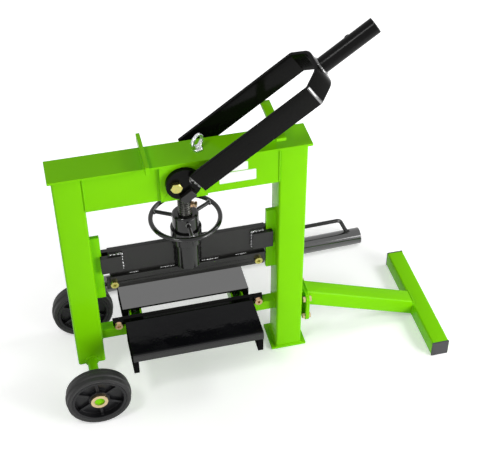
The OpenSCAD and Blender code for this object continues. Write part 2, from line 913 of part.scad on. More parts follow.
module handwheel_nut() {
  r = nut_d / 2;
  bore = spindle_d / 2 + run_clear;
  profile = [
    [bore, spigot_low], [spigot_r, spigot_low], [spigot_r, groove_z - nut_groove_h / 2],
    [nut_groove_r, groove_z - nut_groove_h / 2], [nut_groove_r, groove_z + nut_groove_h / 2],
    [spigot_r, groove_z + nut_groove_h / 2], [spigot_r, nut_low], [r, nut_low],
    [r, nut_top - nut_edge], [r - nut_edge, nut_top], [bore, nut_top]
  ];
  color(black) translate([pin_x, 0, 0]) rotate_extrude() polygon(profile);
}

module handwheel_rim() {
  ring_r = wheel_d / 2 - rim_bar / 2;
  color(black) translate([pin_x, 0, nut_low + rim_up]) {
    rotate_extrude() translate([ring_r, 0]) circle(r = rim_bar / 2, $fn = 32);
    difference() {
      for (i = [0:spokes - 1]) rotate([0, 0, spoke_turn + 360 * i / spokes]) rod_x(spoke_d / 2, 0, ring_r);
      rod_z(nut_d / 2 + seam, -nut_h, nut_h);
    }
  }
}

// Grub screws that hold the nut in its collar
module nut_screws() {
  inner = nut_groove_r + face_clear;
  color(zinc) translate([pin_x, 0, groove_z]) for (a = screw_turns) rotate([0, 0, a]) {
    rod_x(screw_r, inner, collar_d / 2 - 1);
  }
}

// Upper beam

module upper_plate() {
  color(black) translate([pin_x, 0, 0]) difference() {
    box(-upper_len / 2, upper_len / 2, -plate_y, plate_y, plate_low, socket_top);
    rod_z(collar_d / 2 + seam, collar_low - seam, socket_top + cut);
    rod_z(socket_d / 2 + seam, plate_low - cut, socket_top + cut);
  }
}

module blade_holder() {
  groove = blade_t / 2 + seat_clear;
  color(black) difference() {
    translate([pin_x - upper_len / 2, -holder_side / 2, holder_low]) cube([upper_len, holder_side, holder_side]);
    box(-upper_len, upper_len, -groove, groove, holder_low - cut, holder_low + groove_h);
    upper_bolt_holes();
  }
}

module upper_bolt_places() {
  for (x = [-upper_bolt_x, upper_bolt_x]) translate([upper_x + x, 0, upper_bolt_z]) children();
}

module upper_bolt_holes() {
  upper_bolt_places() rod_y(blade_bolt_d / 2 + hole_clear, -holder_side, holder_side);
}

module upper_blade() {
  color(black) difference() {
    translate([upper_x, 0, holder_low + groove_h]) mirror([0, 0, 1]) blade(blade_len, groove_h + upper_reach);
    upper_bolt_holes();
  }
}

module upper_blade_bolts() {
  color(zinc) upper_bolt_places() {
    translate([0, -holder_side / 2, 0]) rotate([90, 0, 0]) cap_screw(blade_bolt_d, holder_side);
  }
}

module guide_blocks() {
  out = upper_len / 2 + block_past;
  color(black) translate([pin_x, 0, 0]) for (sx = [0, 1], sy = [0, 1]) mirror([sx, 0, 0]) mirror([0, sy, 0]) {
    box(out - block_len, out, plate_y, plate_y + block_t, block_z, block_z + block_h);
  }
}

module spindle_socket() {
  color(black) translate([pin_x, 0, 0]) difference() {
    rod_z(socket_d / 2, plate_low, socket_top);
    rod_z(socket_bore, plate_low - cut, socket_top + cut);
  }
}

module nut_collar() {
  color(black) translate([pin_x, 0, 0]) difference() {
    rod_z(collar_d / 2, collar_low, collar_top);
    rod_z(socket_d / 2 + seam, collar_low - cut, socket_top);
    rod_z(spigot_r + face_clear, socket_top - cut, collar_top + cut);
    for (a = screw_turns) rotate([0, 0, a]) rod_x(screw_r + seat_clear, 0, collar_d, z = groove_z);
  }
}

// Wheels

module axle() {
  color(green) rod_y(axle_d / 2, -axle_end, axle_end, -post_x, wheel_z);
}

module axle_collars() {
  inner = track / 2 - hub_w / 2 - face_clear;
  outer = track / 2 + hub_w / 2 + face_clear;
  color(zinc) for (side = [0, 1]) mirror([0, side, 0]) difference() {
    union() {
      rod_y(stop_d / 2, inner - stop_w, inner, -post_x, wheel_z);
      rod_y(stop_d / 2, outer, outer + stop_w, -post_x, wheel_z);
    }
    rod_y(axle_d / 2 + seat_clear, inner - stop_w - cut, outer + stop_w + cut, -post_x, wheel_z);
  }
}

// Turns a profile given as [radius, distance along the axle] about the axle
module wheel_turn(y) {
  translate([-post_x, y, wheel_z]) rotate([-90, 0, 0]) children();
}

module tyre(y) {
  r = tyre_d / 2;
  w = tyre_w / 2;
  step = w * 0.35;
  bead = rim_r + seat_clear;
  low = r - tread_step;
  profile = [
    [bead, side_in - w], [r - shoulder, -w], [low, side_in - w], [low, -step], [r, side_in - step],
    [r, step - side_in], [low, step], [low, w - side_in], [r - shoulder, w], [bead, w - side_in]
  ];
  color(black) wheel_turn(y) rotate_extrude() polygon(profile);
}

module rim(y) {
  w = tyre_w / 2;
  h = hub_w / 2;
  bore = axle_d / 2 + run_clear;
  face = w - side_in;
  flange = rim_r - 2 * web;
  rib_t = 2 * web;
  profile = [
    [bore, -h], [hub_r, -h], [hub_r, -web], [flange, -web], [flange, -face], [rim_r, -face],
    [rim_r, face], [flange, face], [flange, web], [hub_r, web], [hub_r, h], [bore, h]
  ];
  color(black) wheel_turn(y) {
    rotate_extrude() polygon(profile);
    difference() {
      for (i = [0:ribs - 1]) rotate([0, 0, rib_turn + 360 * i / ribs]) {
        box(hub_r - 2, flange + 1, -rib_t / 2, rib_t / 2, web - h, h - web);
      }
      rod_z(hub_r - 1, -w, w);
    }
  }
}

module front_tyre() {
  tyre(-track / 2);
}

module front_rim() {
  rim(-track / 2);
}

module rear_tyre() {
  tyre(track / 2);
}

module rear_rim() {
  rim(track / 2);
}

// Foot

module foot_bolt_places() {
  for (y = [-foot_bolt_y / 2, foot_bolt_y / 2], z = [-foot_bolt_z / 2, foot_bolt_z / 2]) {
    translate([0, foot_back + y, flange_z + z]) children();
  }
}

module flange_plate(x0) {
  difference() {
    translate([x0, foot_back, flange_z]) rotate([90, 0, 90]) linear_extrude(flange_t) {
      polygon(round_outline(flange_w, flange_h, flange_r));
    }
    foot_bolt_places() rod_x(foot_bolt_d / 2 + hole_clear, x0 - cut, x0 + flange_t + cut);
  }
}

// Flange on the post, with the packing piece that leaves room for the nuts
module post_flange() {
  pack_w = foot_bolt_y - 2 * across_flats(foot_bolt_d);
  color(green) {
    flange_plate(flange_x);
    box(
      post_x + post_half, flange_x, foot_back - pack_w / 2, foot_back + pack_w / 2,
      flange_z - flange_h / 2 + 2, flange_z + flange_h / 2 - 2
    );
  }
}

module foot_flange() {
  color(green) flange_plate(flange_x + flange_t);
}

// Side view of the leg, cut square to the floor at both ends
module leg_outline(half) {
  h = half / cos(leg_slope);
  polygon([[leg_x, leg_z - h], [bar_x, leg_end_z - h], [bar_x, leg_end_z + h], [leg_x, leg_z + h]]);
}

module foot_leg() {
  half = foot_side / 2;
  inside = half - foot_wall;
  color(green) translate([0, foot_back, 0]) rotate([90, 0, 0]) difference() {
    translate([0, 0, -half]) linear_extrude(2 * half) leg_outline(half);
    translate([0, 0, -inside]) linear_extrude(2 * inside) leg_outline(inside);
  }
}

module foot_bar() {
  inside = foot_side / 2 - foot_wall;
  half = bar_len / 2 - cap_t;
  mid = bar_x + foot_side / 2;
  color(green) difference() {
    box(bar_x, bar_x + foot_side, bar_y - half, bar_y + half, 0, foot_side);
    box(mid - inside, mid + inside, bar_y - half - cut, bar_y + half + cut, bar_z - inside, bar_z + inside);
  }
}

module foot_caps() {
  color(black) for (y = [bar_y - bar_len / 2, bar_y + bar_len / 2 - cap_t]) {
    box(bar_x, bar_x + foot_side, y, y + cap_t, 0, foot_side);
  }
}

module foot_bolts() {
  color(zinc) foot_bolt_places() {
    translate([flange_x + 2 * flange_t, 0, 0]) rotate([0, 90, 0]) bolt(foot_bolt_d, 2 * flange_t, 0);
  }
}

// Extension tube, drawn along -X from its right end and laid on the floor

module on_extension() {
  translate([ext_right, ext_back, ext_d / 2]) rotate([0, 0, ext_turn]) children();
}

module extension_tube() {
  color(black) on_extension() difference() {
    rod_x(ext_d / 2, -ext_len, 0);
    rod_x(ext_d / 2 - ext_wall, -ext_len - cut, cut);
  }
}

// Round bar between two points
module rod(r, a, b) {
  v = b - a;
  translate(a) rotate([0, acos(v[2] / norm(v)), atan2(v[1], v[0])]) cylinder(r = r, h = norm(v));
}

// One leg of the handle, cut to sit on the tube
module grip_leg(foot, bend) {
  difference() {
    rod(grip_d / 2, foot, bend);
    rod_x(ext_d / 2 + seam, -ext_len, 0);
  }
}

module extension_grip() {
  foot_z = ext_d / 2 - 2;
  right_bend = [-grip_in - grip_lean, 0, grip_up];
  left_bend = [grip_lean - grip_in - grip_len, 0, grip_up];
  color(black) on_extension() {
    grip_leg([-grip_in, 0, foot_z], right_bend);
    grip_leg([-grip_in - grip_len, 0, foot_z], left_bend);
    rod(grip_d / 2, right_bend, left_bend);
    for (p = [right_bend, left_bend]) translate(p) sphere(r = grip_d / 2 + knuckle);
  }
}

left_post();
right_post();
base_plate();
beam_front_plate();
beam_rear_plate();
top_plate();
head_cheeks();
left_guide();
right_guide();
cross_bar();
blade_lugs();
lower_blade();
lower_blade_bolts();
table_consoles();
front_table();
front_table_sides();
front_table_bolts();
front_table_springs();
rear_table();
rear_table_sides();
rear_table_bolts();
rear_table_springs();
pivot_bolt();
lever_fork();
lever_discs();
lever_stub_tube();
crosshead_pin();
pin_keepers();
left_rest();
right_rest();
rest_upright();
lifting_eye();
spindle();
crosshead();
stop_screw();
handwheel_nut();
handwheel_rim();
nut_screws();
upper_plate();
blade_holder();
upper_blade();
upper_blade_bolts();
guide_blocks();
spindle_socket();
nut_collar();
axle();
axle_collars();
front_tyre();
front_rim();
rear_tyre();
rear_rim();
post_flange();
foot_flange();
foot_leg();
foot_bar();
foot_caps();
foot_bolts();
extension_tube();
extension_grip();
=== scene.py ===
# %% [markdown]
# # Block splitter, dressed for its portrait
# The solids of the splitter come in as a fixed frame: every plate, tube and bolt already has its place and
# its size in metres. This lesson gives them paint, zinc and rubber. It replaces those whose real form is
# softer than a plain solid, such as the bent bar, the drawn tubes and the thread, and adds the weld beads.

# %% Load the frame
import bmesh
import bpy
import json
import math
import numpy as np
from mathutils import Matrix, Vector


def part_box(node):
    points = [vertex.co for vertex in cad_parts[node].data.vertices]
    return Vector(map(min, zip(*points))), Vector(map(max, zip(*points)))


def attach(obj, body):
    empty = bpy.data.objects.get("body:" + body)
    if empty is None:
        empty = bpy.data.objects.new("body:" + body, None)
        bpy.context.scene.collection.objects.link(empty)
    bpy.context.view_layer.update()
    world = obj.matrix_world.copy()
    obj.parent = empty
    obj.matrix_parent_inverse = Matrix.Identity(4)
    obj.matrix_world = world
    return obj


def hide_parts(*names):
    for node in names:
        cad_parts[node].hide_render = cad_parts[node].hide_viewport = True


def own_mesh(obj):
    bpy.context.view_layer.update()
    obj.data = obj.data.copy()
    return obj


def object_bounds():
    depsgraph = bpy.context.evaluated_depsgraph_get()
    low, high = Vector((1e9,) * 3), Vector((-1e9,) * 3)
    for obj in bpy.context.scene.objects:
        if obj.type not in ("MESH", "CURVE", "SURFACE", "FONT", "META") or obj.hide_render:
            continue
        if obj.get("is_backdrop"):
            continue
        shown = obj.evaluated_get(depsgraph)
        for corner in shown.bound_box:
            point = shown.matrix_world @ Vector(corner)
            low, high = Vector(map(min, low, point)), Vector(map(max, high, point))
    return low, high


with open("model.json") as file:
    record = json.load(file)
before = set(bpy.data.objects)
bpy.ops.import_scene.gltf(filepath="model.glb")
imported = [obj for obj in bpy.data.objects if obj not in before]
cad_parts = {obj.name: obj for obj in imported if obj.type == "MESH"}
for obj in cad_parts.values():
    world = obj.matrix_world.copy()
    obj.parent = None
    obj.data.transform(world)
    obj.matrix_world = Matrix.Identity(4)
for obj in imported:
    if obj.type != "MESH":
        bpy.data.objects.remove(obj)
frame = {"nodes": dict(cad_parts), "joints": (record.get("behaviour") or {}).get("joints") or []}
nodes = frame["nodes"]
joints = {joint["name"]: joint for joint in frame["joints"]}
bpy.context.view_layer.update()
MM = 0.001
FULL_TURN = 2 * math.pi
X, Y, Z = np.eye(3)

# %% [markdown]
# ## Surfaces from numbers
# A surface is a grid of points: rows run along one parameter, columns along the other. It could be drawn in
# edit mode, or extruded and spun with Blender's own tools. A grid of numbers is chosen, because its sizes
# then come straight from the frame. One helper joins neighbours into quads, another carries a flat profile
# along a path. Almost every new piece of this object is one of these two, so they come first.

# %% Grids and sweeps
def grid_faces(rows, cols, wrap_rows, wrap_cols):
    """Quads of a grid: point (r, c) has index r * cols + c; the last joins the first where it wraps."""
    r = np.arange(rows if wrap_rows else rows - 1)
    c = np.arange(cols if wrap_cols else cols - 1)
    r, c = np.meshgrid(r, c, indexing="ij")
    r1, c1 = (r + 1) % rows, (c + 1) % cols
    return np.stack([r * cols + c, r * cols + c1, r1 * cols + c1, r1 * cols + c], -1).reshape(-1, 4)


def closed_grid(grid, wrap_rows=False):
    """Points and faces of a grid whose columns wrap round; rows wrap too, or caps close both ends."""
    rows, cols = grid.shape[:2]
    faces = grid_faces(rows, cols, wrap_rows, True).tolist()
    if not wrap_rows:
        faces += [list(range(cols)), list(range((rows - 1) * cols, rows * cols))]
    return grid.reshape(-1, 3), faces


def carried(profile, centres, sides, ups):
    """Profile along a path: at each station, centre + first number * side + second number * up."""
    across = profile[None, :, 0, None] * np.atleast_2d(sides)[:, None, :]
    along = profile[None, :, 1, None] * np.atleast_2d(ups)[:, None, :]
    return np.asarray(centres)[:, None, :] + across + along


def joined(parts):
    """Several point-and-face sets as one, each one's face numbers moved past the points before it."""
    points, faces, count = [], [], 0
    for p, f in parts:
        points.append(p)
        faces += [[i + count for i in face] for face in f]
        count += len(p)
    return np.concatenate(points), faces


print("quads of a 3 by 4 grid:", len(grid_faces(3, 4, False, False)))

# %% [markdown]
# The profiles that are carried along are circles and rectangles with rounded corners. Typed points would
# hold one size only, so both outlines are worked out from their radius.

# %% Outlines
def even_turns(count):
    """Evenly spaced turns of a whole circle, without its end."""
    return np.linspace(0, FULL_TURN, count, endpoint=False)


def loop_round(width, height, radius, steps=6):
    """Outline of a rectangle with rounded corners: four quarter circles about the corner centres."""
    turn = np.linspace(0, math.pi / 2, steps)
    quarter = np.stack([np.cos(turn), np.sin(turn)], -1) * radius
    parts = []
    for sx, sy, k in ((1, 1, 0), (-1, 1, 1), (-1, -1, 2), (1, -1, 3)):
        c, s = math.cos(k * math.pi / 2), math.sin(k * math.pi / 2)
        corner = np.array([sx * (width / 2 - radius), sy * (height / 2 - radius)])
        parts.append(corner + quarter @ np.array([[c, s], [-s, c]]))
    return np.concatenate(parts)


def loop_ring(radius, sides=16):
    """Outline of a circle: radius times cosine and sine of evenly spaced turns."""
    turn = even_turns(sides)
    return np.stack([np.cos(turn), np.sin(turn)], -1) * radius


print("points of a ring:", len(loop_ring(1.0)))

# %% [markdown]
# Points and faces become a mesh in one place. It also says which body the piece rides on, which finishes
# it wears and which plain solid it takes the place of. Shading is soft up to an angle, because a pressed or
# drawn part is smooth except at its true edges.

# %% From numbers to a piece
def add_piece(name, shape, body, finish, replaces=(), sharp=35.0, accents=(), where=None):
    """Puts points and faces into a mesh with outward faces, soft shading up to an angle, and its finish.

    Further finishes, the accents, go where a test of all face centres and normals gives their number,
    counted from one; it gives nought for the main finish.
    """
    points, faces = shape
    mesh = bpy.data.meshes.new(name)
    mesh.from_pydata(points.tolist(), [], faces)
    work = bmesh.new()
    work.from_mesh(mesh)
    bmesh.ops.recalc_face_normals(work, faces=work.faces)
    work.to_mesh(mesh)
    work.free()
    mesh.polygons.foreach_set("use_smooth", np.ones(len(mesh.polygons), bool))
    mesh.set_sharp_from_angle(angle=math.radians(sharp))
    for material in (finish, *accents):
        mesh.materials.append(material)
    if accents:
        centres, normals = np.empty(3 * len(mesh.polygons)), np.empty(3 * len(mesh.polygons))
        mesh.polygons.foreach_get("center", centres)
        mesh.polygons.foreach_get("normal", normals)
        chosen = where(centres.reshape(-1, 3), normals.reshape(-1, 3))
        mesh.polygons.foreach_set("material_index", chosen.astype(int))
    piece = bpy.data.objects.new(name, mesh)
    bpy.context.scene.collection.objects.link(piece)
    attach(piece, body)
    if replaces:
        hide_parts(*replaces)
    print(name, "rides on", body, "with", len(mesh.polygons), "faces")
    return piece


print("piece helper ready")

# %% [markdown]
# ## Shader maths as plain expressions
# Paint and metal are patterns that are added and multiplied. Their nodes could be placed one by one, but
# then the formula is lost among the links. Here a small class wraps a node's socket, so that an expression
# such as 0.2 + 0.1 * noise builds its Math nodes by itself.

# %% Readings
class Reading:
    """What a shader node gives at a point; sums, products and quotients of readings add Math nodes."""

    def __init__(self, sheet, socket):
        self.sheet, self.socket = sheet, socket

    def maths(self, operation, a, b):
        """A Math node on two values."""
        return self.sheet.node("ShaderNodeMath", {"operation": operation}, {0: a, 1: b})

    def __add__(self, other):
        return self.maths("ADD", self, other)

    def __radd__(self, other):
        return self.maths("ADD", other, self)

    def __mul__(self, other):
        return self.maths("MULTIPLY", self, other)

    def __rmul__(self, other):
        return self.maths("MULTIPLY", other, self)

    def __truediv__(self, other):
        return self.maths("DIVIDE", self, other)

    def __rtruediv__(self, other):
        return self.maths("DIVIDE", other, self)


print("readings can be added, multiplied and divided")

# %% [markdown]
# Everything else that a material needs comes from one method, which makes any node from its type, its
# settings and its inputs. The patterns that several finishes share have short methods of their own.

# %% Shader sheet
class Sheet:
    """The node sheet of a material, or of the world, with its shader."""

    def __init__(self, owner, shader="Principled BSDF"):
        owner.use_nodes = True
        self.owner, self.tree = owner, owner.node_tree
        self.shader = self.tree.nodes[shader]

    def node(self, kind, settings, inputs, out=0):
        """Makes any node, its settings first and then its inputs, and gives one of its outputs."""
        made = self.tree.nodes.new(kind)
        for key, value in settings.items():
            if key == "stops":
                self.stops(made.color_ramp, value)
            else:
                setattr(made, key, value)
        for key, value in inputs.items():
            self.feed(made.inputs[key], value)
        return Reading(self, made.outputs[out])

    def stops(self, ramp, values):
        """Grey stops of a colour ramp, each a position and a level."""
        while len(ramp.elements) < len(values):
            ramp.elements.new(0.5)
        for element, (position, level) in zip(ramp.elements, values):
            element.position = position
            element.color = (level, level, level, 1)

    def feed(self, socket, value):
        """Links a reading to a socket, or sets a plain value; a colour becomes opaque."""
        if isinstance(value, Reading):
            self.tree.links.new(value.socket, socket)
        elif isinstance(value, tuple) and len(value) == 3 and socket.type == "RGBA":
            socket.default_value = (*value, 1)
        else:
            socket.default_value = value

    def place(self):
        """The point in the object's own space, in metres."""
        return self.node("ShaderNodeTexCoord", {}, {}, "Object")

    def noise(self, scale, detail=2.0, rough=0.5):
        """Noise in that space; a larger scale makes it finer."""
        inputs = {"Vector": self.place(), "Scale": scale, "Detail": detail, "Roughness": rough}
        return self.node("ShaderNodeTexNoise", {}, inputs)

    def seen(self):
        """One for rays from the camera and for their gloss or glass, nought for the light itself."""
        rays = ("Is Camera Ray", "Is Glossy Ray", "Is Transmission Ray")
        camera, glossy, through = (self.node("ShaderNodeLightPath", {}, {}, ray) for ray in rays)
        return camera + glossy + through

    def ramp(self, value, *stops):
        """A level that runs straight from stop to stop."""
        return self.node("ShaderNodeValToRGB", {"stops": stops}, {0: value})

    def mix(self, amount, a, b):
        """A colour on the way from one to the other, by an amount from nought to one."""
        return self.node("ShaderNodeMix", {"data_type": "RGBA"}, {0: amount, 6: a, 7: b}, 2)

    def bump(self, height, distance):
        """A normal tilted as if a height of one stood out by the distance."""
        return self.node("ShaderNodeBump", {}, {"Height": height, "Distance": distance})

    def set(self, **inputs):
        """Feeds the shader's sockets by name, and gives back the material or world."""
        for key, value in inputs.items():
            self.feed(self.shader.inputs[key.replace("_", " ")], value)
        return self.owner


def new_sheet(name):
    """The sheet of a new material."""
    return Sheet(bpy.data.materials.new(name))


print("shader sheet ready")

# %% [markdown]
# ## Paint
# The frame wears a glossy lime powder coat, and most moving parts wear a black one. One even colour would
# look like plastic, and an image would have to be unwrapped onto every part. Noise in the object's own
# space is chosen, because the coat flows into a faint orange peel that is the same all over, and handling
# leaves duller patches. The blacks differ in gloss: the lever is deep black, the upper beam is satin, the
# front table is worn and wavy, and sheared ends stay dull. The rear table's top mirrors what stands over it
# and is a lighter copy of the black, a painted sheen; the front table's folded lip and the lever's outer
# bends are lighter, glossier copies, a painted reflection and a painted highlight.

# %% Paint finishes
def grey(level):
    """An even grey."""
    return (level, level, level)


def paint(name, colour, shade, gloss, wear, specular, coat=0.0, wave=0.0):
    """Powder coat: a broad cloud between two close shades, orange peel and a slow wave as bump.

    The roughness is gloss, and up to gloss + wear where the coat was handled, with rougher specks.
    """
    sheet = new_sheet(name)
    cloud = sheet.ramp(sheet.noise(7.0, 3.0), (0.35, 0.0), (0.7, 1.0))
    handled = sheet.ramp(sheet.noise(16.0, 4.0, 0.6), (0.48, 0.0), (0.72, 1.0))
    speck = sheet.ramp(sheet.noise(420.0, 2.0), (0.66, 0.0), (0.74, 1.0))
    tone = sheet.mix(cloud * 0.6 + handled * 0.15, colour, shade)
    peel = sheet.noise(330.0, 1.0) * 0.7 + sheet.noise(900.0, 1.0) * 0.3
    if wave:
        peel = peel + wave * sheet.noise(45.0, 2.0)
    return sheet.set(
        Base_Color=tone, Roughness=gloss + wear * handled + 0.08 * speck,
        Normal=sheet.bump(peel, 0.06 * MM), Coat_Weight=coat, Coat_Roughness=0.08, Coat_IOR=1.7,
        Specular_IOR_Level=specular,
    )


lime = paint("lime_powder_coat", (0.195, 0.60, 0.002), (0.175, 0.555, 0.002), 0.20, 0.08, specular=0.05)
lever_black = paint(
    "deep_black_coat", (0.0025, 0.0025, 0.0022), (0.005, 0.005, 0.0045), 0.13, 0.10, specular=0.07
)
# The lever's outer bends wear this lighter, glossier copy of its black as a painted highlight; the
# extension tube wears it as its glossy black.
bend_painted_highlight_and_tube_gloss = paint("bend_painted_highlight_and_tube_coat", grey(0.006), grey(0.010), 0.10, 0.04, specular=1.0, coat=0.6)
tube_black = paint("bright_tube_coat", grey(0.003), grey(0.006), 0.20, 0.06, specular=0.09)
beam_black = paint(
    "satin_black_coat", (0.009, 0.009, 0.008), (0.014, 0.014, 0.013), 0.30, 0.10, specular=0.33
)
gloss_black = paint("gloss_black_coat", grey(0.004), grey(0.007), 0.10, 0.06, specular=0.45)
# The rear table's top and the front table's lip are lighter copies of the black: a painted sheen and a
# painted reflection.
rear_top_painted_sheen = paint("mirror_black_painted_sheen_coat", grey(0.010), grey(0.014), 0.16, 0.06, specular=1.0, coat=0.9)
front_lip_painted_reflection = paint("folded_lip_painted_reflection_coat", grey(0.008), grey(0.012), 0.20, 0.08, specular=0.4)
worn_black = paint(
    "oiled_table_face", (0.003, 0.003, 0.004), (0.008, 0.008, 0.009), 0.12, 0.14, specular=0.10, wave=14.0
)
edge_black = paint("sheared_edge_coat", grey(0.005), grey(0.009), 0.50, 0.10, specular=0.0)
weld_black = paint("welded_black_coat", grey(0.005), grey(0.010), 0.08, 0.04, specular=1.0, coat=1.0)
print("paints:", [m.name for m in bpy.data.materials if m.name.endswith(("coat", "face"))])

# %% [markdown]
# ## Plated and oiled metal, rubber and plastic
# Yellow-passivated zinc drifts between straw, pink and green over a few millimetres. Its colours could be
# worked out from the thickness of the film, but two tints and a noise give the same drift more simply.
# Bright zinc is a fine-grained silver, and the spindle is dark steel with a film of oil. Rubber is dull
# with a little dust in its pores, and moulded plastic has a fine even grain.

# %% Metal, rubber and plastic finishes
def plated(name, colour, tint, rough, scale):
    """Plating: a metal whose colour drifts between two tints, with fine grain in its gloss."""
    sheet = new_sheet(name)
    drift = sheet.ramp(sheet.noise(scale, 3.0), (0.35, 0.0), (0.65, 1.0))
    grain = sheet.noise(1500.0, 2.0)
    return sheet.set(
        Base_Color=sheet.mix(drift, colour, tint), Metallic=1.0, Roughness=rough + 0.15 * grain,
        Normal=sheet.bump(grain, 0.03 * MM),
    )


def dull(name, colour, dust, rough, grain_scale, depth):
    """Rubber or plastic: a dark base with dusty pores, an even grain as bump."""
    sheet = new_sheet(name)
    grain = sheet.noise(grain_scale, 2.0)
    pores = sheet.ramp(sheet.noise(90.0, 4.0, 0.65), (0.5, 0.0), (0.8, 1.0))
    return sheet.set(
        Base_Color=sheet.mix(pores * 0.7, colour, dust), Roughness=rough + 0.15 * pores,
        Normal=sheet.bump(grain, depth), Specular_IOR_Level=0.25,
    )


def label_vinyl():
    """Blank white vinyl: a warm white that yellows a little in a soft cloud."""
    sheet = new_sheet("white_vinyl")
    cloud = sheet.noise(60.0, 3.0)
    tone = sheet.mix(cloud * 0.5, (0.86, 0.86, 0.85), (0.80, 0.80, 0.78))
    return sheet.set(Base_Color=tone, Roughness=0.3 + 0.1 * cloud, Coat_Weight=0.3)


straw_zinc = plated("yellow_zinc_plate", (0.50, 0.42, 0.12), (0.38, 0.42, 0.13), 0.20, 160.0)
rosy_zinc = plated("aged_zinc_plate", (0.56, 0.33, 0.20), (0.52, 0.40, 0.22), 0.22, 160.0)
dry_zinc = plated("dry_zinc_plate", (0.66, 0.52, 0.29), (0.58, 0.44, 0.27), 0.26, 160.0)
silver_zinc = plated("bright_zinc_plate", (0.70, 0.72, 0.73), (0.62, 0.63, 0.65), 0.18, 120.0)
oiled_steel = plated("oiled_dark_steel", (0.06, 0.06, 0.057), (0.11, 0.107, 0.10), 0.20, 220.0)
spring_steel = plated("spring_steel", (0.30, 0.30, 0.29), (0.20, 0.20, 0.20), 0.30, 300.0)
tyre_rubber = dull("tyre_rubber", grey(0.021), (0.040, 0.039, 0.038), 0.50, 700.0, 0.1 * MM)
hub_plastic = dull("moulded_plastic", (0.006, 0.006, 0.007), (0.014, 0.014, 0.015), 0.34, 1400.0, 0.04 * MM)
cap_plastic = dull("cap_plastic", (0.045, 0.045, 0.047), (0.065, 0.065, 0.067), 0.45, 1100.0, 0.05 * MM)
white_vinyl = label_vinyl()
print("plated and moulded finishes ready")

# %% [markdown]
# ## Dress the solids that keep their shape
# A sheared plate or a turned collar already has the right shape, but no real edge is razor sharp. It could
# be modelled again with rounded edges. Modifiers are chosen, because the solid below them stays as it is:
# they weld its loose triangles, round its edges and let the normals follow the large faces, so flat stays
# flat and only the edge catches light.

# %% Finish of each solid
PLATE_EDGE, BOLT_EDGE, TYRE_EDGE = 0.8 * MM, 0.4 * MM, 1.2 * MM
SOLID_ANGLE, PIECE_ANGLE = 40, 50


def round_edges(thing, width, angle):
    """A round on every edge that turns by more than the given degrees; the normals keep flats flat."""
    bevel = thing.modifiers.new("edge", "BEVEL")
    bevel.limit_method = "ANGLE"
    bevel.angle_limit = math.radians(angle)
    bevel.width = width
    bevel.segments = 2
    flat = thing.modifiers.new("flat", "WEIGHTED_NORMAL")
    flat.weight = 80


def soften(node, finish, edge):
    """Gives a solid its finish and an edge round of the given width."""
    solid = nodes[node]
    mesh = solid.data
    mesh.materials.clear()
    mesh.materials.append(finish)
    if "custom_normal" in mesh.attributes:
        mesh.attributes.remove(mesh.attributes["custom_normal"])
    mesh.polygons.foreach_set("use_smooth", np.ones(len(mesh.polygons), bool))
    weld = solid.modifiers.new("weld", "WELD")
    weld.merge_threshold = 0.01 * MM
    round_edges(solid, edge, SOLID_ANGLE)


# Finish, width of the edge round, and the solids that get them.
FINISHES = [
    (lime, PLATE_EDGE, "base_plate beam_front_plate beam_rear_plate top_plate head_cheeks left_guide "
                       "right_guide cross_bar table_consoles left_rest right_rest rest_upright axle "
                       "post_flange foot_flange"),
    (lever_black, PLATE_EDGE, "lever_discs blade_lugs lower_blade"),
    (edge_black, PLATE_EDGE, "front_table_sides rear_table_sides"),
    (tube_black, PLATE_EDGE, "lever_stub_tube"),
    (beam_black, PLATE_EDGE, "upper_plate blade_holder guide_blocks upper_blade pin_keepers"),
    (gloss_black, PLATE_EDGE, "spindle_socket nut_collar handwheel_nut handwheel_rim"),
    (bend_painted_highlight_and_tube_gloss, PLATE_EDGE, "extension_tube"),
    (straw_zinc, BOLT_EDGE, "front_table_bolts rear_table_bolts nut_screws upper_blade_bolts"),
    (dry_zinc, BOLT_EDGE, "axle_collars"),
    (rosy_zinc, BOLT_EDGE, "lower_blade_bolts stop_screw"),
    (oiled_steel, BOLT_EDGE, "crosshead crosshead_pin"),
    (tyre_rubber, TYRE_EDGE, "front_tyre rear_tyre"),
    (hub_plastic, PLATE_EDGE, "front_rim rear_rim"),
    (cap_plastic, PLATE_EDGE, "foot_caps"),
]
for finish, edge, names in FINISHES:
    for node in names.split():
        soften(node, finish, edge)
print("dressed solids:", sum(len(names.split()) for _, _, names in FINISHES))

# %% [markdown]
# ## Drawn square tubes
# The posts and the foot are square tube, which comes off the mill with rounded corners, about as wide as
# its wall is thick. A bevelled box would have no bore. So the tube is one closed surface: an outer outline
# carried along, the end ring, the inner outline back, the other ring.

# %% Posts and foot tubes
POST_WALL, POST_ROUND = 4 * MM, 5 * MM
FOOT_WALL, FOOT_ROUND = 3 * MM, 4 * MM


def square_tube(width, wall, radius, start, end, side, up):
    """Outer outline at both ends, then the inner outline back; the four rows wrap into one closed wall."""
    outer = loop_round(width, width, radius)
    inner = loop_round(width - 2 * wall, width - 2 * wall, radius - wall)
    there = carried(outer, [start, end], side, up)
    back = carried(inner, [end, start], side, up)
    return closed_grid(np.concatenate([there, back]), wrap_rows=True)


for name, node in (("left_post_tube", "left_post"), ("right_post_tube", "right_post")):
    low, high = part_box(node)
    x, y = (low.x + high.x) / 2, (low.y + high.y) / 2
    ends = ((x, y, low.z), (x, y, high.z))
    shape = square_tube(high.x - low.x, POST_WALL, POST_ROUND, *ends, X, Y)
    add_piece(name, shape, "frame", lime, [node])

low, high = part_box("foot_bar")
x, z = (low.x + high.x) / 2, (low.z + high.z) / 2
ends = ((x, low.y, z), (x, high.y, z))
shape = square_tube(high.x - low.x, FOOT_WALL, FOOT_ROUND, *ends, X, Z)
add_piece("foot_bar_tube", shape, "frame", lime, ["foot_bar"])

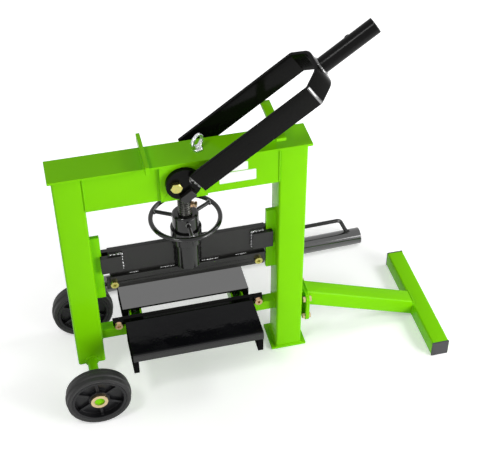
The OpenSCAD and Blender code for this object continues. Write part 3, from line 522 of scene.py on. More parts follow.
# The box is as high as the leg's fall and its upright cut together. The cut depends on the slope, so the
# slope is found in a few rounds.
low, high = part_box("foot_leg")
leg_side = high.y - low.y
leg_run, leg_tall = high.x - low.x, high.z - low.z
slope = 0.0
for _ in range(20):
    slope = math.atan2(leg_tall - leg_side / math.cos(slope), leg_run)
leg_end = leg_side / math.cos(slope)
y = (low.y + high.y) / 2
ends = ((low.x, y, high.z - leg_end / 2), (high.x, y, low.z + leg_end / 2))
shape = square_tube(leg_side, FOOT_WALL, FOOT_ROUND, *ends, Y, Z / math.cos(slope))
add_piece("foot_leg_tube", shape, "frame", lime, ["foot_leg"])
print("leg slope", round(math.degrees(slope), 2))

# %% [markdown]
# ## The bent lever fork
# The lever is one flat bar, bent four times. A press brake leaves a round at each bend. A curve with a
# bevel could draw it, but its section may twist at the bends. So the middle line is drawn in the plane of
# the lever, its corners become arcs, and the bar's section is carried along it, square to that plane.

# %% Paths and the lever's plane
PIVOT = np.array(joints["lever_swing"]["pos_m"])
TILT = math.radians(36)
ALONG = np.array([math.cos(TILT), 0.0, math.sin(TILT)])
UPWARD = np.array([-math.sin(TILT), 0.0, math.cos(TILT)])


def filleted(corners, radii, steps=8):
    """Path with its inner corners turned into arcs: each arc leaves a leg where its circle touches it."""
    out = [corners[:1]]
    for before, corner, after, radius in zip(corners[:-2], corners[1:-1], corners[2:], radii):
        a = (before - corner) / np.linalg.norm(before - corner)
        b = (after - corner) / np.linalg.norm(after - corner)
        half = math.acos(np.clip(a @ b, -1, 1)) / 2
        centre = corner + (a + b) / np.linalg.norm(a + b) * radius / math.sin(half)
        first = corner + a * radius / math.tan(half) - centre
        last = corner + b * radius / math.tan(half) - centre
        share = np.linspace(0, 1, steps)[:, None]
        sweep = math.pi - 2 * half
        arc = (np.sin((1 - share) * sweep) * first + np.sin(share * sweep) * last) / math.sin(sweep)
        out.append(centre + arc)
    return np.concatenate(out + [corners[-1:]])


def path_frames(path, up):
    """Sides square to the path, by central differences, and to the given up; then ups square to both."""
    ahead = np.gradient(path, axis=0)
    ahead /= np.linalg.norm(ahead, axis=1, keepdims=True)
    side = np.cross(ahead, up)
    side /= np.linalg.norm(side, axis=1, keepdims=True)
    return side, np.cross(side, ahead)


def on_lever(along, across, upward):
    """A point of the lever, from its distance along it, across the frame and square to both."""
    return PIVOT + along * ALONG + across * Y + upward * UPWARD


print("lever leans", round(math.degrees(TILT), 1), "degrees")

# %% Lever fork
ARM_W, ARM_T, ARM_DROP = 50 * MM, 8 * MM, 15 * MM
ARM_START, ARM_BEND, NOSE_RUN = 40 * MM, 326 * MM, 37 * MM
ARM_Y, NOSE_HALF = 60 * MM, 29.8 * MM
ARM_BEND_R, NOSE_BEND_R, BAR_ROUND = 5 * MM, 24 * MM, 1 * MM
LEAST_LEAN, MOST_LEAN, BEND_ZONE = 0.05, 0.95, 2 * MM

nose = ARM_BEND + NOSE_RUN - ARM_T / 2
corners = [
    (ARM_START, -ARM_Y), (ARM_BEND, -ARM_Y), (nose, -NOSE_HALF),
    (nose, NOSE_HALF), (ARM_BEND, ARM_Y), (ARM_START, ARM_Y),
]
line = np.array([on_lever(a, b, -ARM_DROP) for a, b in corners])
path = filleted(line, (ARM_BEND_R, NOSE_BEND_R, NOSE_BEND_R, ARM_BEND_R))
bar = loop_round(ARM_T, ARM_W, BAR_ROUND, steps=4)


def bends_with_painted_highlight(centres, normals):
    """Outer faces of the arm bends, whose lean is between the arm's, nought, and the slant's, one."""
    slant = np.array([nose - ARM_BEND, ARM_Y - NOSE_HALF])
    lean = normals @ ALONG / (slant[1] / np.hypot(*slant))
    outward = normals[:, 1] * centres[:, 1] > 0
    at_bend = np.abs(centres[:, 1]) > ARM_Y - BEND_ZONE
    return outward & at_bend & (lean > LEAST_LEAN) & (lean < MOST_LEAN)


# The outer faces of the arm bends get a lighter, glossier black: a painted highlight.
add_piece(
    "lever_fork_bar", closed_grid(carried(bar, path, *path_frames(path, UPWARD))), "lever",
    lever_black, ["lever_fork"], accents=(bend_painted_highlight_and_tube_gloss,), where=bends_with_painted_highlight,
)

# %% [markdown]
# ## A button on the stub tube
# A small oblong button stands out of the stub tube's upper side, where it catches the extension. Half a
# squashed sphere would be too domed. So it is an oval whose height falls with the fourth power of the
# distance from its middle: nearly flat on top, and steep at its rim.

# %% Stub button
STUB_R, BUTTON_ALONG, BUTTON_TURN = 16.85 * MM, 436 * MM, math.radians(41)
BUTTON_LONG, BUTTON_WIDE, BUTTON_TALL, BUTTON_SUNK = 6 * MM, 4 * MM, 2.6 * MM, 0.8 * MM
outward = math.cos(BUTTON_TURN) * UPWARD + math.sin(BUTTON_TURN) * Y
sideways = np.cross(outward, ALONG)
share = np.linspace(0.05, 1, 9)[:, None, None]
turn = even_turns(40)[None, :, None]
foot = on_lever(BUTTON_ALONG, 0, -ARM_DROP) + (STUB_R - BUTTON_SUNK) * outward
oval = share * np.cos(turn) * BUTTON_LONG * ALONG + share * np.sin(turn) * BUTTON_WIDE * sideways
button = foot + oval + BUTTON_TALL * (1 - share**4) * outward
add_piece("stub_button", closed_grid(button), "lever", gloss_black)

# %% [markdown]
# ## Folded table plates
# Each table is a plate with its outer edge folded down. Two boxes would meet in a sharp corner, where the
# real fold has a round a little larger than the plate is thick. So the section is an angle with that round,
# and it is drawn out along the blades.

# %% Tables
TABLE_T, FOLD_R = 5 * MM, 7 * MM
FACES_UP, FACES_END = 0.8, 0.5


def folded_plate(node, sign):
    """Angle section: plate from the blade outwards, a quarter-circle fold, the lip; sign picks the side."""
    low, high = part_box(node)
    inner, outer = (low.y, high.y) if sign > 0 else (-high.y, -low.y)
    turn = np.linspace(math.pi / 2, 0, 8)
    arc = np.stack([np.cos(turn), np.sin(turn)], -1)
    centre = np.array([outer - FOLD_R, high.z - FOLD_R])
    above, below = centre + arc * FOLD_R, centre + arc * (FOLD_R - TABLE_T)
    top = np.concatenate([[[inner, high.z]], above, [[outer, low.z]]])
    under = np.concatenate([[[inner, high.z - TABLE_T]], below, [[outer - TABLE_T, low.z]]])
    section = np.concatenate([top, under[::-1]])
    return closed_grid(carried(section, [low.x * X, high.x * X], sign * Y, Z))


def table_faces(centres, normals):
    """One for faces that look up, two for the sheared ends, nought for the rest."""
    ends = np.abs(normals[:, 0]) > FACES_END
    return np.where(normals[:, 2] > FACES_UP, 1, np.where(ends, 2, 0))


# Faces that look up get the top's finish. The rear top is a lighter mirror copy, a painted sheen; the front
# lip a lighter glossy copy, a painted reflection.
for name, node, sign, lip, top in (
    ("front_table_plate", "front_table", -1, front_lip_painted_reflection, worn_black),
    ("rear_table_plate", "rear_table", 1, lever_black, rear_top_painted_sheen),
):
    plate = add_piece(
        name, folded_plate(node, sign), node, lip, [node],
        accents=(top, edge_black), where=table_faces,
    )
    round_edges(plate, PLATE_EDGE, PIECE_ANGLE)

# %% [markdown]
# ## The spindle's thread
# The spindle is a trapezoidal screw. A Screw modifier could wind its profile, but would leave the ends of
# the thread open. So its surface is a function of the turn and the height: the radius follows the flanks
# of the thread at the phase height / pitch - turn. That makes one true helix, which can also run out at
# the top and be chamfered at the tip.

# %% Spindle
WOUND_SHARP = 60.0
CREST, ROOT, PITCH = 15 * MM, 12.8 * MM, 6 * MM
# Half a crest and a flank, as shares of the pitch.
CREST_HALF, FLANK = 0.15, 0.2
PLAIN_TOP, RUN_OUT, TIP_CHAMFER = 3 * MM, 4 * MM, 2.5 * MM
low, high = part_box("spindle")
axis_x, axis_y = (low.x + high.x) / 2, (low.y + high.y) / 2
turns = even_turns(72)
levels = np.arange(low.z, high.z, PITCH / 16)[:, None]
phase = (levels / PITCH - turns / FULL_TURN) % 1.0
groove = np.clip((np.abs(phase - 0.5) - CREST_HALF) / FLANK, 0, 1)
run_out = np.clip((high.z - PLAIN_TOP - levels) / RUN_OUT, 0, 1)
chamfer = np.clip(1 - (levels - low.z) / TIP_CHAMFER, 0, 1)
radius = ROOT + (CREST - ROOT) * (1 - groove) * run_out
radius = np.minimum(radius, CREST - chamfer * (CREST - ROOT))
grid = np.stack([axis_x + radius * np.cos(turns), axis_y + radius * np.sin(turns), levels + 0 * turns], -1)
shape = closed_grid(grid)
add_piece("spindle_thread", shape, "spindle", oiled_steel, ["spindle"], sharp=WOUND_SHARP)

# %% [markdown]
# ## Table springs
# Under each table stand two compression springs. A plain helix would stand on the tip of its wire. So the
# wire's middle line stays level for most of the first and last turn, and climbs at a steady pitch in
# between.

# %% Springs
WIRE, COIL_D, COILS, END_TURN = 2.4 * MM, 15 * MM, 7.0, 0.8


def coil_spring(x, y, low_z, high_z):
    """Helix: the turn runs evenly, and the height climbs evenly between two flat end turns."""
    share = np.linspace(0, 1, int(COILS * 30))
    climb = np.clip((share * COILS - END_TURN) / (COILS - 2 * END_TURN), 0, 1)
    turn = FULL_TURN * COILS * share
    height = low_z + WIRE / 2 + (high_z - low_z - WIRE) * climb
    path = np.stack([x + COIL_D / 2 * np.cos(turn), y + COIL_D / 2 * np.sin(turn), height], -1)
    return closed_grid(carried(loop_ring(WIRE / 2, 10), path, *path_frames(path, Z)))


for name, node, joint in (
    ("front_springs", "front_table_springs", "front_table_press"),
    ("rear_springs", "rear_table_springs", "rear_table_press"),
):
    low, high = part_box(node)
    y, reach = (low.y + high.y) / 2, (COIL_D + WIRE) / 2
    shape = joined([coil_spring(x, y, low.z, high.z) for x in (low.x + reach, high.x - reach)])
    springs = add_piece(name, shape, "frame", spring_steel, [node], sharp=WOUND_SHARP)
    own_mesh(springs)

# %% [markdown]
# ## Hexagon bolts
# The lever turns on a hexagon bolt, and four smaller ones hold the foot. Six-sided cylinders would do, but
# a forged head has a chamfer: a flat cone cuts its corners, so that its face is a circle. So the whole bolt
# with its nut is one surface of rows along the axis. Each row has a limit, and its radius is the smaller of
# the limit and the hexagon.

# %% Hexagon bolt
# Head, nut and flats go by the thread's diameter, and the radius of the face goes by the flats.
HEAD, NUT, FLATS, FLATS_MORE = 0.64, 0.8, 1.5, 0.5 * MM
FACE, BOLT_TIP, CONE, BOLT_SHARP = 0.475, 1.0 * MM, math.radians(30), 25.0


def hex_bolt(seat, axis, corner, thread, grip, past):
    """Radius at a turn: the lesser of the row's limit and flats / 2 / cos(turn to the nearest flat)."""
    flats, rod = FLATS * thread + FLATS_MORE, thread / 2
    face, edge = FACE * flats, flats / math.sqrt(3)
    tail = -grip - NUT * thread
    share = np.linspace(0, 1, 6)
    cone = np.stack([share * (edge - face) * math.tan(CONE), face + share * (edge - face)], -1)
    rows = [(tail - past, rod - BOLT_TIP), (tail - past + BOLT_TIP, rod), (tail, rod)]
    rows += [(tail + z, r) for z, r in cone]
    rows += [(-grip - z, r) for z, r in cone[::-1]]
    rows += [(-grip, rod), (0.0, rod), (0.0, edge)]
    rows += [(HEAD * thread - z, r) for z, r in cone[::-1]]
    level, limit = np.array(rows).T
    turn = even_turns(72)
    reach = flats / 2 / np.cos(turn % (math.pi / 3) - math.pi / 6)
    radius = np.minimum(limit[:, None], reach[None, :])[..., None]
    around = np.cos(turn)[:, None] * corner + np.sin(turn)[:, None] * np.cross(axis, corner)
    return closed_grid(np.array(seat, float) + level[:, None, None] * axis + radius * around[None])


print("a 10 mm bolt is", round((FLATS * 10 * MM + FLATS_MORE) / MM, 1), "mm across its flats")

# %% Pivot bolt and foot bolts
PIVOT_PAST = 2 * MM
low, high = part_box("pivot_bolt")
thread = (high.z - low.z - FLATS_MORE) / FLATS
seat = low.y + HEAD * thread
middle = ((low.x + high.x) / 2, seat, (low.z + high.z) / 2)
grip = high.y - PIVOT_PAST - NUT * thread - seat
shape = hex_bolt(middle, -Y, X, thread, grip, PIVOT_PAST)
add_piece("pivot_hex_bolt", shape, "frame", straw_zinc, ["pivot_bolt"], sharp=BOLT_SHARP)

low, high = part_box("foot_bolts")
flange_low, flange_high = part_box("foot_flange")
thread = (high.x - flange_high.x) / HEAD
flats = FLATS * thread + FLATS_MORE
reach = flats / math.sqrt(3)
grip = 2 * (flange_high.x - flange_low.x)
past = flange_high.x - grip - NUT * thread - low.x
places = [(y, z) for y in (low.y + flats / 2, high.y - flats / 2) for z in (low.z + reach, high.z - reach)]
shape = joined([hex_bolt((flange_high.x, y, z), X, Z, thread, grip, past) for y, z in places])
add_piece("foot_hex_bolts", shape, "frame", dry_zinc, ["foot_bolts"], sharp=BOLT_SHARP)

# %% [markdown]
# ## The lifting eye
# The frame is lifted by a forged eye, which is thinner at its top than at its foot. A torus has the same
# bar all round. So the radius of the bar follows the turn round the ring, while the outside stays a circle.
# Below it a collar sits on the top plate with a rounded shoulder.

# %% Lifting eye
EYE_TURN, EYE_R, BAR_TOP, BAR_FOOT = math.radians(40), 18 * MM, 3.4 * MM, 4.6 * MM
COLLAR_R, COLLAR_H, SHOULDER = 10.8 * MM, 6.3 * MM, 2.5 * MM
low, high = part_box("lifting_eye")
middle = np.array([(low.x + high.x) / 2, (low.y + high.y) / 2, high.z - EYE_R])
turn = even_turns(72)
bar = (BAR_TOP + (BAR_FOOT - BAR_TOP) * ((1 - np.sin(turn)) / 2) ** 2)[:, None, None]
flat = np.array([math.cos(EYE_TURN), math.sin(EYE_TURN), 0.0])
through = np.array([math.sin(EYE_TURN), -math.cos(EYE_TURN), 0.0])
out = (np.cos(turn)[:, None] * flat + np.sin(turn)[:, None] * Z)[:, None, :]
around = loop_ring(1.0, 24)[None, :, :, None]
ring = middle + (EYE_R - bar) * out + bar * (around[:, :, 0] * out + around[:, :, 1] * through)
quarter = np.linspace(0, math.pi / 2, 6)
radii = np.concatenate([[COLLAR_R], COLLAR_R - SHOULDER + SHOULDER * np.cos(quarter)])
levels = np.concatenate([[low.z], low.z + COLLAR_H - SHOULDER + SHOULDER * np.sin(quarter)])
collar = np.zeros((len(levels), 48, 3))
collar[:, :, :2] = middle[:2] + radii[:, None, None] * loop_ring(1.0, 48)
collar[:, :, 2] = levels[:, None]
shape = joined([closed_grid(ring, wrap_rows=True), closed_grid(collar)])
add_piece("forged_lifting_eye", shape, "frame", silver_zinc, ["lifting_eye"])

# %% [markdown]
# ## The extension tube's hand loop
# The extension tube is picked up by a loop: a round bar bent twice and welded to the tube at both feet.
# Half a torus would be too round. So its middle line has two straight legs, two bends and a straight grip,
# and the bar is carried along it as on the lever.

# %% Hand loop
EXT_END = np.array([500.0, 278.0, 21.2]) * MM
EXT_TURN, TUBE_R = math.radians(1.9), 21.2 * MM
EXT_DIR = np.array([math.cos(EXT_TURN), math.sin(EXT_TURN), 0.0])
EXT_SIDE = np.array([-math.sin(EXT_TURN), math.cos(EXT_TURN), 0.0])
LOOP_NEAR, LOOP_FAR, LOOP_LEAN = 34 * MM, 204 * MM, 21 * MM
LOOP_FOOT, LOOP_HIGH, LOOP_BEND_R, GRIP_R = 19 * MM, 64 * MM, 14 * MM, 5 * MM
corners = [
    (LOOP_NEAR, LOOP_FOOT), (LOOP_NEAR + LOOP_LEAN, LOOP_HIGH),
    (LOOP_FAR - LOOP_LEAN, LOOP_HIGH), (LOOP_FAR, LOOP_FOOT),
]
line = np.array([EXT_END - back * EXT_DIR + tall * Z for back, tall in corners])
path = filleted(line, (LOOP_BEND_R, LOOP_BEND_R), steps=10)
shape = closed_grid(carried(loop_ring(GRIP_R, 20), path, *path_frames(path, EXT_SIDE)))
add_piece("hand_loop_rod", shape, "extension", gloss_black, ["extension_grip"])

# %% [markdown]
# ## Weld beads
# The frame and the moving parts are welded, and the beads show as rippled cords along the seams. A bump
# in the paint could hint at them, but they stand out in outline too. So a bead is a round cord carried
# along its seam. Its radius swells at every step of the torch and fades at both ends. Painted over, it
# takes the colour of what it joins.

# %% Beads
R_FAT, R_WIDE, R_BIG, R_MID, R_SMALL = 6.5 * MM, 4.2 * MM, 3.0 * MM, 2.2 * MM, 1.6 * MM
BEAD_SHARP = 80.0


def bead(points, radius, fade=True, lump=0.0):
    """Cord along a flat seam: radius * (0.86 + 0.14 * |cosine of the torch step|), thinning at both ends.

    A rough bead also has lumps: lump * the product of two slow sines that never fall into step.
    """
    points = np.asarray(points, float)
    step = 1.5 * radius
    lengths = np.linalg.norm(np.diff(points, axis=0), axis=1)
    run = np.concatenate([[0], np.cumsum(lengths)])
    stations = np.linspace(0, run[-1], max(8, int(run[-1] / step * 5)))
    path = np.stack([np.interp(stations, run, points[:, k]) for k in range(3)], -1)
    square_to = np.linalg.svd(points - points.mean(axis=0))[2][2]
    side, up = path_frames(path, square_to)
    swell = 0.86 + 0.14 * np.abs(np.cos(math.pi * stations / step))
    swell += lump * np.sin(1.7 * stations / step) * np.sin(2.9 * stations / step + 1)
    if fade:
        from_end = np.minimum(stations, run[-1] - stations) / (1.2 * radius)
        swell = swell * np.sqrt(np.clip(from_end, 0.05, 1))
    return closed_grid(carried(loop_ring(radius, 8), path, swell[:, None] * side, swell[:, None] * up))


def rectangle(a0, a1, b0, b1):
    """Corners of a rectangle in order, the first one again at the end."""
    return [(a0, b0), (a1, b0), (a1, b1), (a0, b1), (a0, b0)]


def ring_path(centre, radius, a, b, count=49, start=0.0, sweep=FULL_TURN):
    """Circle about a centre, or a part of it, in the plane of two directions."""
    turn = start + np.linspace(0, sweep, count)[:, None]
    return np.asarray(centre) + radius * (np.cos(turn) * a + np.sin(turn) * b)


print("bead radii in mm:", [round(r / MM, 1) for r in (R_FAT, R_WIDE, R_BIG, R_MID, R_SMALL)])

# %% [markdown]
# The frame's beads follow the edges of its solids: the beam plates' ends, the guides in short stitches,
# and all round the cross bar, the posts and the rests. They could be placed by eye. The solids' own boxes
# are used, because then each bead lies on its seam.

# %% Beads on posts, beam and rests
BEAM_INSET, REST_HALF = 2 * MM, 34 * MM
# Start and end of each stitch, as shares of a guide's height.
STITCHES = ((0.02, 0.28), (0.40, 0.62), (0.74, 0.97))
frame_beads = []
beam_low, beam_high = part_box("beam_front_plate")
post_low, post_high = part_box("right_post")
for x in (-beam_high.x, beam_high.x):
    for y in (-post_high.y, post_high.y):
        seam = [(x, y, beam_low.z + BEAM_INSET), (x, y, beam_high.z - BEAM_INSET)]
        frame_beads.append(bead(seam, R_MID))
for node in ("left_guide", "right_guide"):
    low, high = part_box(node)
    x = low.x if low.x < 0 else high.x
    for y in (low.y, high.y):
        for stitch in STITCHES:
            frame_beads.append(bead([(x, y, low.z + s * (high.z - low.z)) for s in stitch], R_SMALL))
low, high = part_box("cross_bar")
for x in (low.x, high.x):
    seam = [(x, y, z) for z, y in rectangle(low.z, high.z, low.y, high.y)]
    frame_beads.append(bead(seam, R_MID, fade=False))
seam = [(x, y, post_low.z) for x, y in rectangle(post_low.x, post_high.x, post_low.y, post_high.y)]
frame_beads.append(bead(seam, R_MID, fade=False))
for node in ("left_post", "right_post"):
    low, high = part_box(node)
    seam = [(x, y, high.z) for x, y in rectangle(low.x, high.x, low.y, high.y)]
    frame_beads.append(bead(seam, R_SMALL, fade=False))
low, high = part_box("left_rest")
for x in (low.x, high.x):
    frame_beads.append(bead([(x, -REST_HALF, low.z), (x, REST_HALF, low.z)], R_MID))
low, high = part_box("rest_upright")
for z, radius in ((low.z, R_MID), (high.z, R_SMALL)):
    seam = [(x, y, z) for x, y in rectangle(low.x, high.x, low.y, high.y)]
    frame_beads.append(bead(seam, radius, fade=False))
print("beads so far:", len(frame_beads))

# %% Beads on foot, axle and consoles
FLOOR_GAP, AXLE_GAP, CONSOLE_W, CONSOLE_GAP = 1.5 * MM, 1 * MM, 28 * MM, 1 * MM
low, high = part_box("foot_leg")
for x, z0, z1 in ((low.x, high.z - leg_end, high.z), (high.x, low.z, low.z + leg_end)):
    seam = [(x, y, max(z, FLOOR_GAP)) for y, z in rectangle(low.y, high.y, z0, z1)]
    frame_beads.append(bead(seam, R_MID, fade=False))
axle_low, axle_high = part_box("axle")
axle_r = (axle_high.z - axle_low.z) / 2
low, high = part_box("left_post")
for y in (low.y, high.y):
    middle = ((low.x + high.x) / 2, y, axle_low.z + axle_r)
    frame_beads.append(bead(ring_path(middle, axle_r + AXLE_GAP, X, Z), R_WIDE, fade=False))
low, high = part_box("table_consoles")
cross_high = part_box("cross_bar")[1]
for sx in (-1, 1):
    for y in (-cross_high.y, cross_high.y):
        for x in (sx * high.x, sx * (high.x - CONSOLE_W)):
            frame_beads.append(bead([(x, y, low.z + CONSOLE_GAP), (x, y, cross_high.z)], R_SMALL))
add_piece("frame_welds", joined(frame_beads), "frame", lime, sharp=BEAD_SHARP)

# %% [markdown]
# The upper beam carries heavier, shinier beads: round the guide blocks and along the seam of plate and
# holder. Those up both sides of the spindle socket, in its corners with the plate, are as deep a black as
# the lever: painted shade. Even cords would look machined, so these have lumps.

# %% Beads on the upper beam
BLOCK_LEN, SEAM_OUT, COLLAR_GAP, ROUGH = 45 * MM, 0.6 * MM, 1 * MM, 0.45
SOCKET_IN, SOCKET_FOOT, SOCKET_TOP, SOCKET_ZONE = 0.5 * MM, 4 * MM, 3 * MM, 2 * MM
plate_low, plate_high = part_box("upper_plate")
block_low, block_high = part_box("guide_blocks")
socket_low, socket_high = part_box("spindle_socket")
collar_low, collar_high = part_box("nut_collar")
socket_r = (socket_high.x - socket_low.x) / 2
# Start and length along the seam of plate and holder, and radius.
holder_stitches = (
    (plate_low.x + 40 * MM, 22 * MM, R_MID), (socket_low.x - 34 * MM, 36 * MM, R_MID),
    (socket_high.x - 2 * MM, 40 * MM, R_BIG), (plate_high.x - 66 * MM, 26 * MM, R_MID),
)
beam_beads = []
for y in (-plate_high.y, plate_high.y):
    for x_in, x_end in ((block_low.x + BLOCK_LEN, plate_low.x), (block_high.x - BLOCK_LEN, plate_high.x)):
        z0, z1 = block_low.z, block_high.z
        seam = [(x_end, y, z1), (x_in, y, z1), (x_in, y, z0), (x_end, y, z0)]
        beam_beads.append(bead(seam, R_WIDE, lump=ROUGH))
for y in (-plate_high.y - SEAM_OUT, plate_high.y + SEAM_OUT):
    for start, length, radius in holder_stitches:
        seam = [(start, y, plate_low.z), (start + length, y, plate_low.z)]
        beam_beads.append(bead(seam, radius, lump=ROUGH))
    for x in (socket_low.x + SOCKET_IN, socket_high.x - SOCKET_IN):
        seam = [(x, y, plate_low.z + SOCKET_FOOT), (x, y, plate_high.z - SOCKET_TOP)]
        beam_beads.append(bead(seam, R_MID, lump=ROUGH))
centre = ((collar_low.x + collar_high.x) / 2, 0, collar_low.z)
beam_beads.append(bead(ring_path(centre, socket_r + COLLAR_GAP, X, Y), R_MID, fade=False))


def painted_shade_by_socket(centres, normals):
    """Faces of the beads that run up beside the socket."""
    return np.abs(centres[:, 0] - axis_x) < socket_r + SOCKET_ZONE


# Beads beside the socket get the deeper lever black: painted shade in its corners.
add_piece(
    "beam_welds", joined(beam_beads), "upper_beam", weld_black, sharp=BEAD_SHARP,
    accents=(lever_black,), where=painted_shade_by_socket,
)

# %% [markdown]
# On the lever, beads hold the stub tube, the bosses of the discs and the ends of the arms. Small rings
# hold the handwheel's spokes and the feet of the hand loop. All of them ride on the body that they hold
# together, so they move with it.

# %% Beads on the lever
NOSE_RING, BOSS_ALONG, BOSS_R, DISC_OUT = 17.2 * MM, 42 * MM, 14 * MM, 47.3 * MM
ARM_IN, END_SUNK, END_HALF, END_ROUGH = 56 * MM, 2 * MM, 19 * MM, 0.3
BOSS_FROM, BOSS_SWEEP = 1.2, 3.9
nose_at = on_lever(ARM_BEND + NOSE_RUN, 0, -ARM_DROP)
lever_beads = [bead(ring_path(nose_at, NOSE_RING, Y, UPWARD), R_WIDE, fade=False)]
for sy in (-1, 1):
    at = on_lever(BOSS_ALONG, sy * DISC_OUT, -ARM_DROP)
    ring = ring_path(at, BOSS_R, ALONG, UPWARD, start=BOSS_FROM, sweep=BOSS_SWEEP)
    lever_beads.append(bead(ring, R_BIG))
    heights = (-ARM_DROP - END_HALF, -ARM_DROP + END_HALF)
    end = [on_lever(ARM_START - END_SUNK, sy * (ARM_IN - END_SUNK), height) for height in heights]
    lever_beads.append(bead(end, R_FAT, lump=END_ROUGH))
add_piece("lever_welds", joined(lever_beads), "lever", weld_black, sharp=BEAD_SHARP)

# %% Beads on handwheel and hand loop
SPOKES, SPOKE_TURN, SPOKE_IN, SPOKE_OUT, SPOKE_RING = 3, math.radians(31), 28 * MM, 67 * MM, 4.6 * MM
rim_low, rim_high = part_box("handwheel_rim")
hub = np.array([axis_x, 0.0, (rim_low.z + rim_high.z) / 2])
wheel_beads = []
for turn in SPOKE_TURN + even_turns(SPOKES):
    out = np.array([math.cos(turn), math.sin(turn), 0.0])
    tangent = np.array([-math.sin(turn), math.cos(turn), 0.0])
    for distance, radius in ((SPOKE_IN, R_SMALL), (SPOKE_OUT, R_MID)):
        ring = ring_path(hub + distance * out, SPOKE_RING, tangent, Z, count=33)
        wheel_beads.append(bead(ring, radius, fade=False))
add_piece("handwheel_welds", joined(wheel_beads), "handwheel", weld_black, sharp=BEAD_SHARP)

LOOP_RING, LOOP_OVAL = GRIP_R + 0.6 * MM, 1.15
loop_beads = []
for back in (LOOP_NEAR, LOOP_FAR):
    foot = EXT_END - back * EXT_DIR + TUBE_R * Z
    ring = ring_path(foot, LOOP_RING, LOOP_OVAL * EXT_DIR, EXT_SIDE, count=33)
    loop_beads.append(bead(ring, R_SMALL, fade=False))
add_piece("loop_welds", joined(loop_beads), "extension", gloss_black, sharp=BEAD_SHARP)

# %% [markdown]
# ## Blank labels
# The front of the beam carries two white vinyl labels with rounded corners. A patch in the paint would lie
# flush. So each is a flat outline, raised by the thickness of the vinyl, whose edge catches light.

# %% Labels
VINYL_T, VINYL_ROUND = 0.2 * MM, 2 * MM
# Left, right, bottom and top edge in millimetres.
LABELS = ((73, 149, 518, 544), (96, 132, 546, 566))
front_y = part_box("beam_front_plate")[0].y


def vinyl(left, right, bottom, top):
    """Rounded rectangle on the beam's front, drawn out by its thickness."""
    outline = loop_round(right - left, top - bottom, VINYL_ROUND, steps=5)
    middle = np.array([(left + right) / 2, front_y, (bottom + top) / 2])
    return closed_grid(carried(outline, [middle, middle - VINYL_T * Y], X, Z))


labels = joined([vinyl(*(edge * MM for edge in edges)) for edges in LABELS])
add_piece("blank_labels", labels, "frame", white_vinyl)

# %% [markdown]
# ## Stage
# The photograph was taken in a white studio. A bent backdrop is the usual way, but the camera looks down so
# steeply that a flat floor fills the view. The floor keeps the soft shadow. Its glow is only for the camera
# and for reflections, and it is weaker towards the object: painted shade round the object, which deepens
# the shadow.

# %% Floor
FLOOR_RADII, FLOOR_SIDES, FLOOR_DROP = (1.0, 4.0, 20.0), 96, 0.5 * MM
PAINTED_SHADE_MIDDLE, PAINTED_SHADE_REACH, GLOW = (0.2, -0.1, 0.0), 2.0, 0.7


def pale_floor():
    """A wide disc of points: radius and turn as parameters, height just under the object."""
    rings = np.array(FLOOR_RADII)[:, None, None] * loop_ring(1.0, FLOOR_SIDES)[None]
    level = np.full((len(FLOOR_RADII), FLOOR_SIDES, 1), -FLOOR_DROP)
    grid = np.concatenate([rings, level], -1)
    faces = grid_faces(len(FLOOR_RADII), FLOOR_SIDES, False, True).tolist() + [list(range(FLOOR_SIDES))]
    return grid.reshape(-1, 3), faces


points, faces = pale_floor()
mesh = bpy.data.meshes.new("studio_floor")
mesh.from_pydata(points.tolist(), [], faces)
floor = bpy.data.objects.new("studio_floor", mesh)
bpy.context.scene.collection.objects.link(floor)
floor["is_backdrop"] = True
sheet = new_sheet("studio_white")
grain = sheet.noise(3.0, 2.0)
ends = {0: sheet.place(), 1: PAINTED_SHADE_MIDDLE}
distance_from_painted_shade = sheet.node("ShaderNodeVectorMath", {"operation": "DISTANCE"}, ends, "Value")
# The glow is weaker near the object's middle: painted shade round it.
glow = sheet.seen() * sheet.ramp(distance_from_painted_shade / PAINTED_SHADE_REACH, (0.1, 0.35), (0.5, 1.0))
mesh.materials.append(sheet.set(
    Base_Color=sheet.mix(grain * 0.2, grey(0.93), grey(0.91)), Roughness=0.6 + 0.05 * grain,
    Specular_IOR_Level=0.2, Emission_Color=glow, Emission_Strength=GLOW,
))
print("floor ready")

# %% [markdown]
# ## Light
# One small lamp would cast a hard shadow. So the surround is white to the camera and in reflections, but
# lights the object with about a quarter of that, and six soft boxes give form: a faint one overhead, one
# high on the left, one on the right for the foot, a large one and an upright strip from the front right,
# and a low one from the front left.

# %% Light
AMBIENT = 0.26
world = bpy.data.worlds.new("studio")
bpy.context.scene.world = world
sky = Sheet(world, "Background")
sky.set(Color=grey(1.0), Strength=AMBIENT + (1 - AMBIENT) * sky.seen())


def placed(right, up, back, position):
    """The matrix whose columns are three directions and a position."""
    return Matrix([(right[k], up[k], back[k], position[k]) for k in range(3)] + [(0, 0, 0, 1)])


def softbox(name, position, target, width, height, power):
    """A rectangular area lamp that looks at a point."""
    lamp = bpy.data.lights.new(name, "AREA")
    lamp.shape = "RECTANGLE"
    lamp.size, lamp.size_y = width, height
    lamp.energy = power
    holder = bpy.data.objects.new(name, lamp)
    back = np.array(position) - np.array(target)
    back /= np.linalg.norm(back)
    right = np.cross(Z, back)
    right /= np.linalg.norm(right)
    holder.matrix_world = placed(right, np.cross(back, right), back, position)
    bpy.context.scene.collection.objects.link(holder)
    print(name, "at", position)


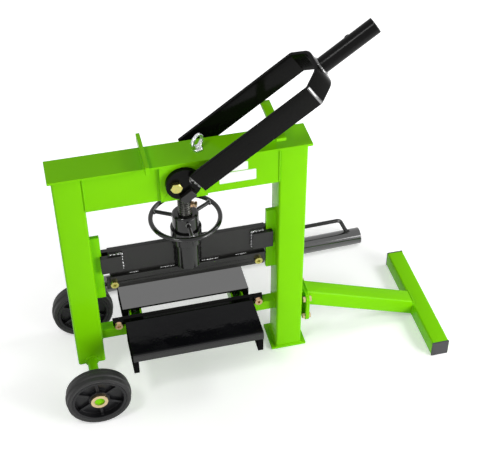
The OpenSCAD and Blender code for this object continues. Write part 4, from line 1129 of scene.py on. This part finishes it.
# Place, aim and size of each lamp in metres, and its power in watts.
AIM = (0.1, 0.0, 0.3)
softbox("overhead_lamp", (0.0, 0.0, 3.0), AIM, 1.8, 1.8, 2)
softbox("left_lamp", (-0.95, -0.9, 2.3), AIM, 0.45, 0.45, 12)
softbox("right_lamp", (1.6, 0.2, 1.3), (0.56, 0.1, 0.0), 0.5, 0.5, 8)
softbox("front_lamp", (1.75, -1.4, 0.9), AIM, 1.2, 1.4, 34)
softbox("strip_lamp", (1.5, -1.5, 0.45), AIM, 0.25, 0.8, 8)
softbox("low_lamp", (-0.9, -1.5, 0.4), (-0.2, 0.0, 0.2), 0.5, 0.5, 5)

# %% [markdown]
# ## Camera
# The camera repeats the photograph's viewpoint: from above, from the front and a little from the left. It
# could be set by eye. Its place, its angles and its lens come from the straight edges of the photograph,
# because then each part falls on its own place in the picture.

# %% Camera
CAMERA_AT = np.array([-269.34, -1685.75, 1893.80]) * MM
CAMERA_TURN, CAMERA_DOWN, CAMERA_ROLL = np.radians([-13.7461, 41.309, -0.16])
FOCAL_PX, IMAGE_W, SENSOR = 1085.05, 500, 36.0
level = np.array([math.cos(CAMERA_TURN), math.sin(CAMERA_TURN), 0.0])
back = math.sin(CAMERA_DOWN) * Z - math.cos(CAMERA_DOWN) * np.cross(Z, level)
steep = np.cross(back, level)
right = math.cos(CAMERA_ROLL) * level + math.sin(CAMERA_ROLL) * steep
up = math.cos(CAMERA_ROLL) * steep - math.sin(CAMERA_ROLL) * level
camera_data = bpy.data.cameras.new("camera")
camera_data.sensor_width = SENSOR
camera_data.lens = FOCAL_PX / IMAGE_W * SENSOR
camera = bpy.data.objects.new("camera", camera_data)
camera.matrix_world = placed(right, up, back, CAMERA_AT)
bpy.context.scene.collection.objects.link(camera)
bpy.context.scene.camera = camera
bpy.context.scene.view_settings.view_transform = "Standard"
print("lens", round(camera_data.lens, 2), "mm")

# %% [markdown]
# ## Sizes
# At last the box round the dressed object is worked out and printed. It should differ from the box of the
# solids only by rounds, beads and other small forms.

# %% Sizes and finish
bpy.context.view_layer.update()
low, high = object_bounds()
print("visual box:", [round(v, 3) for v in (*low, *high)])
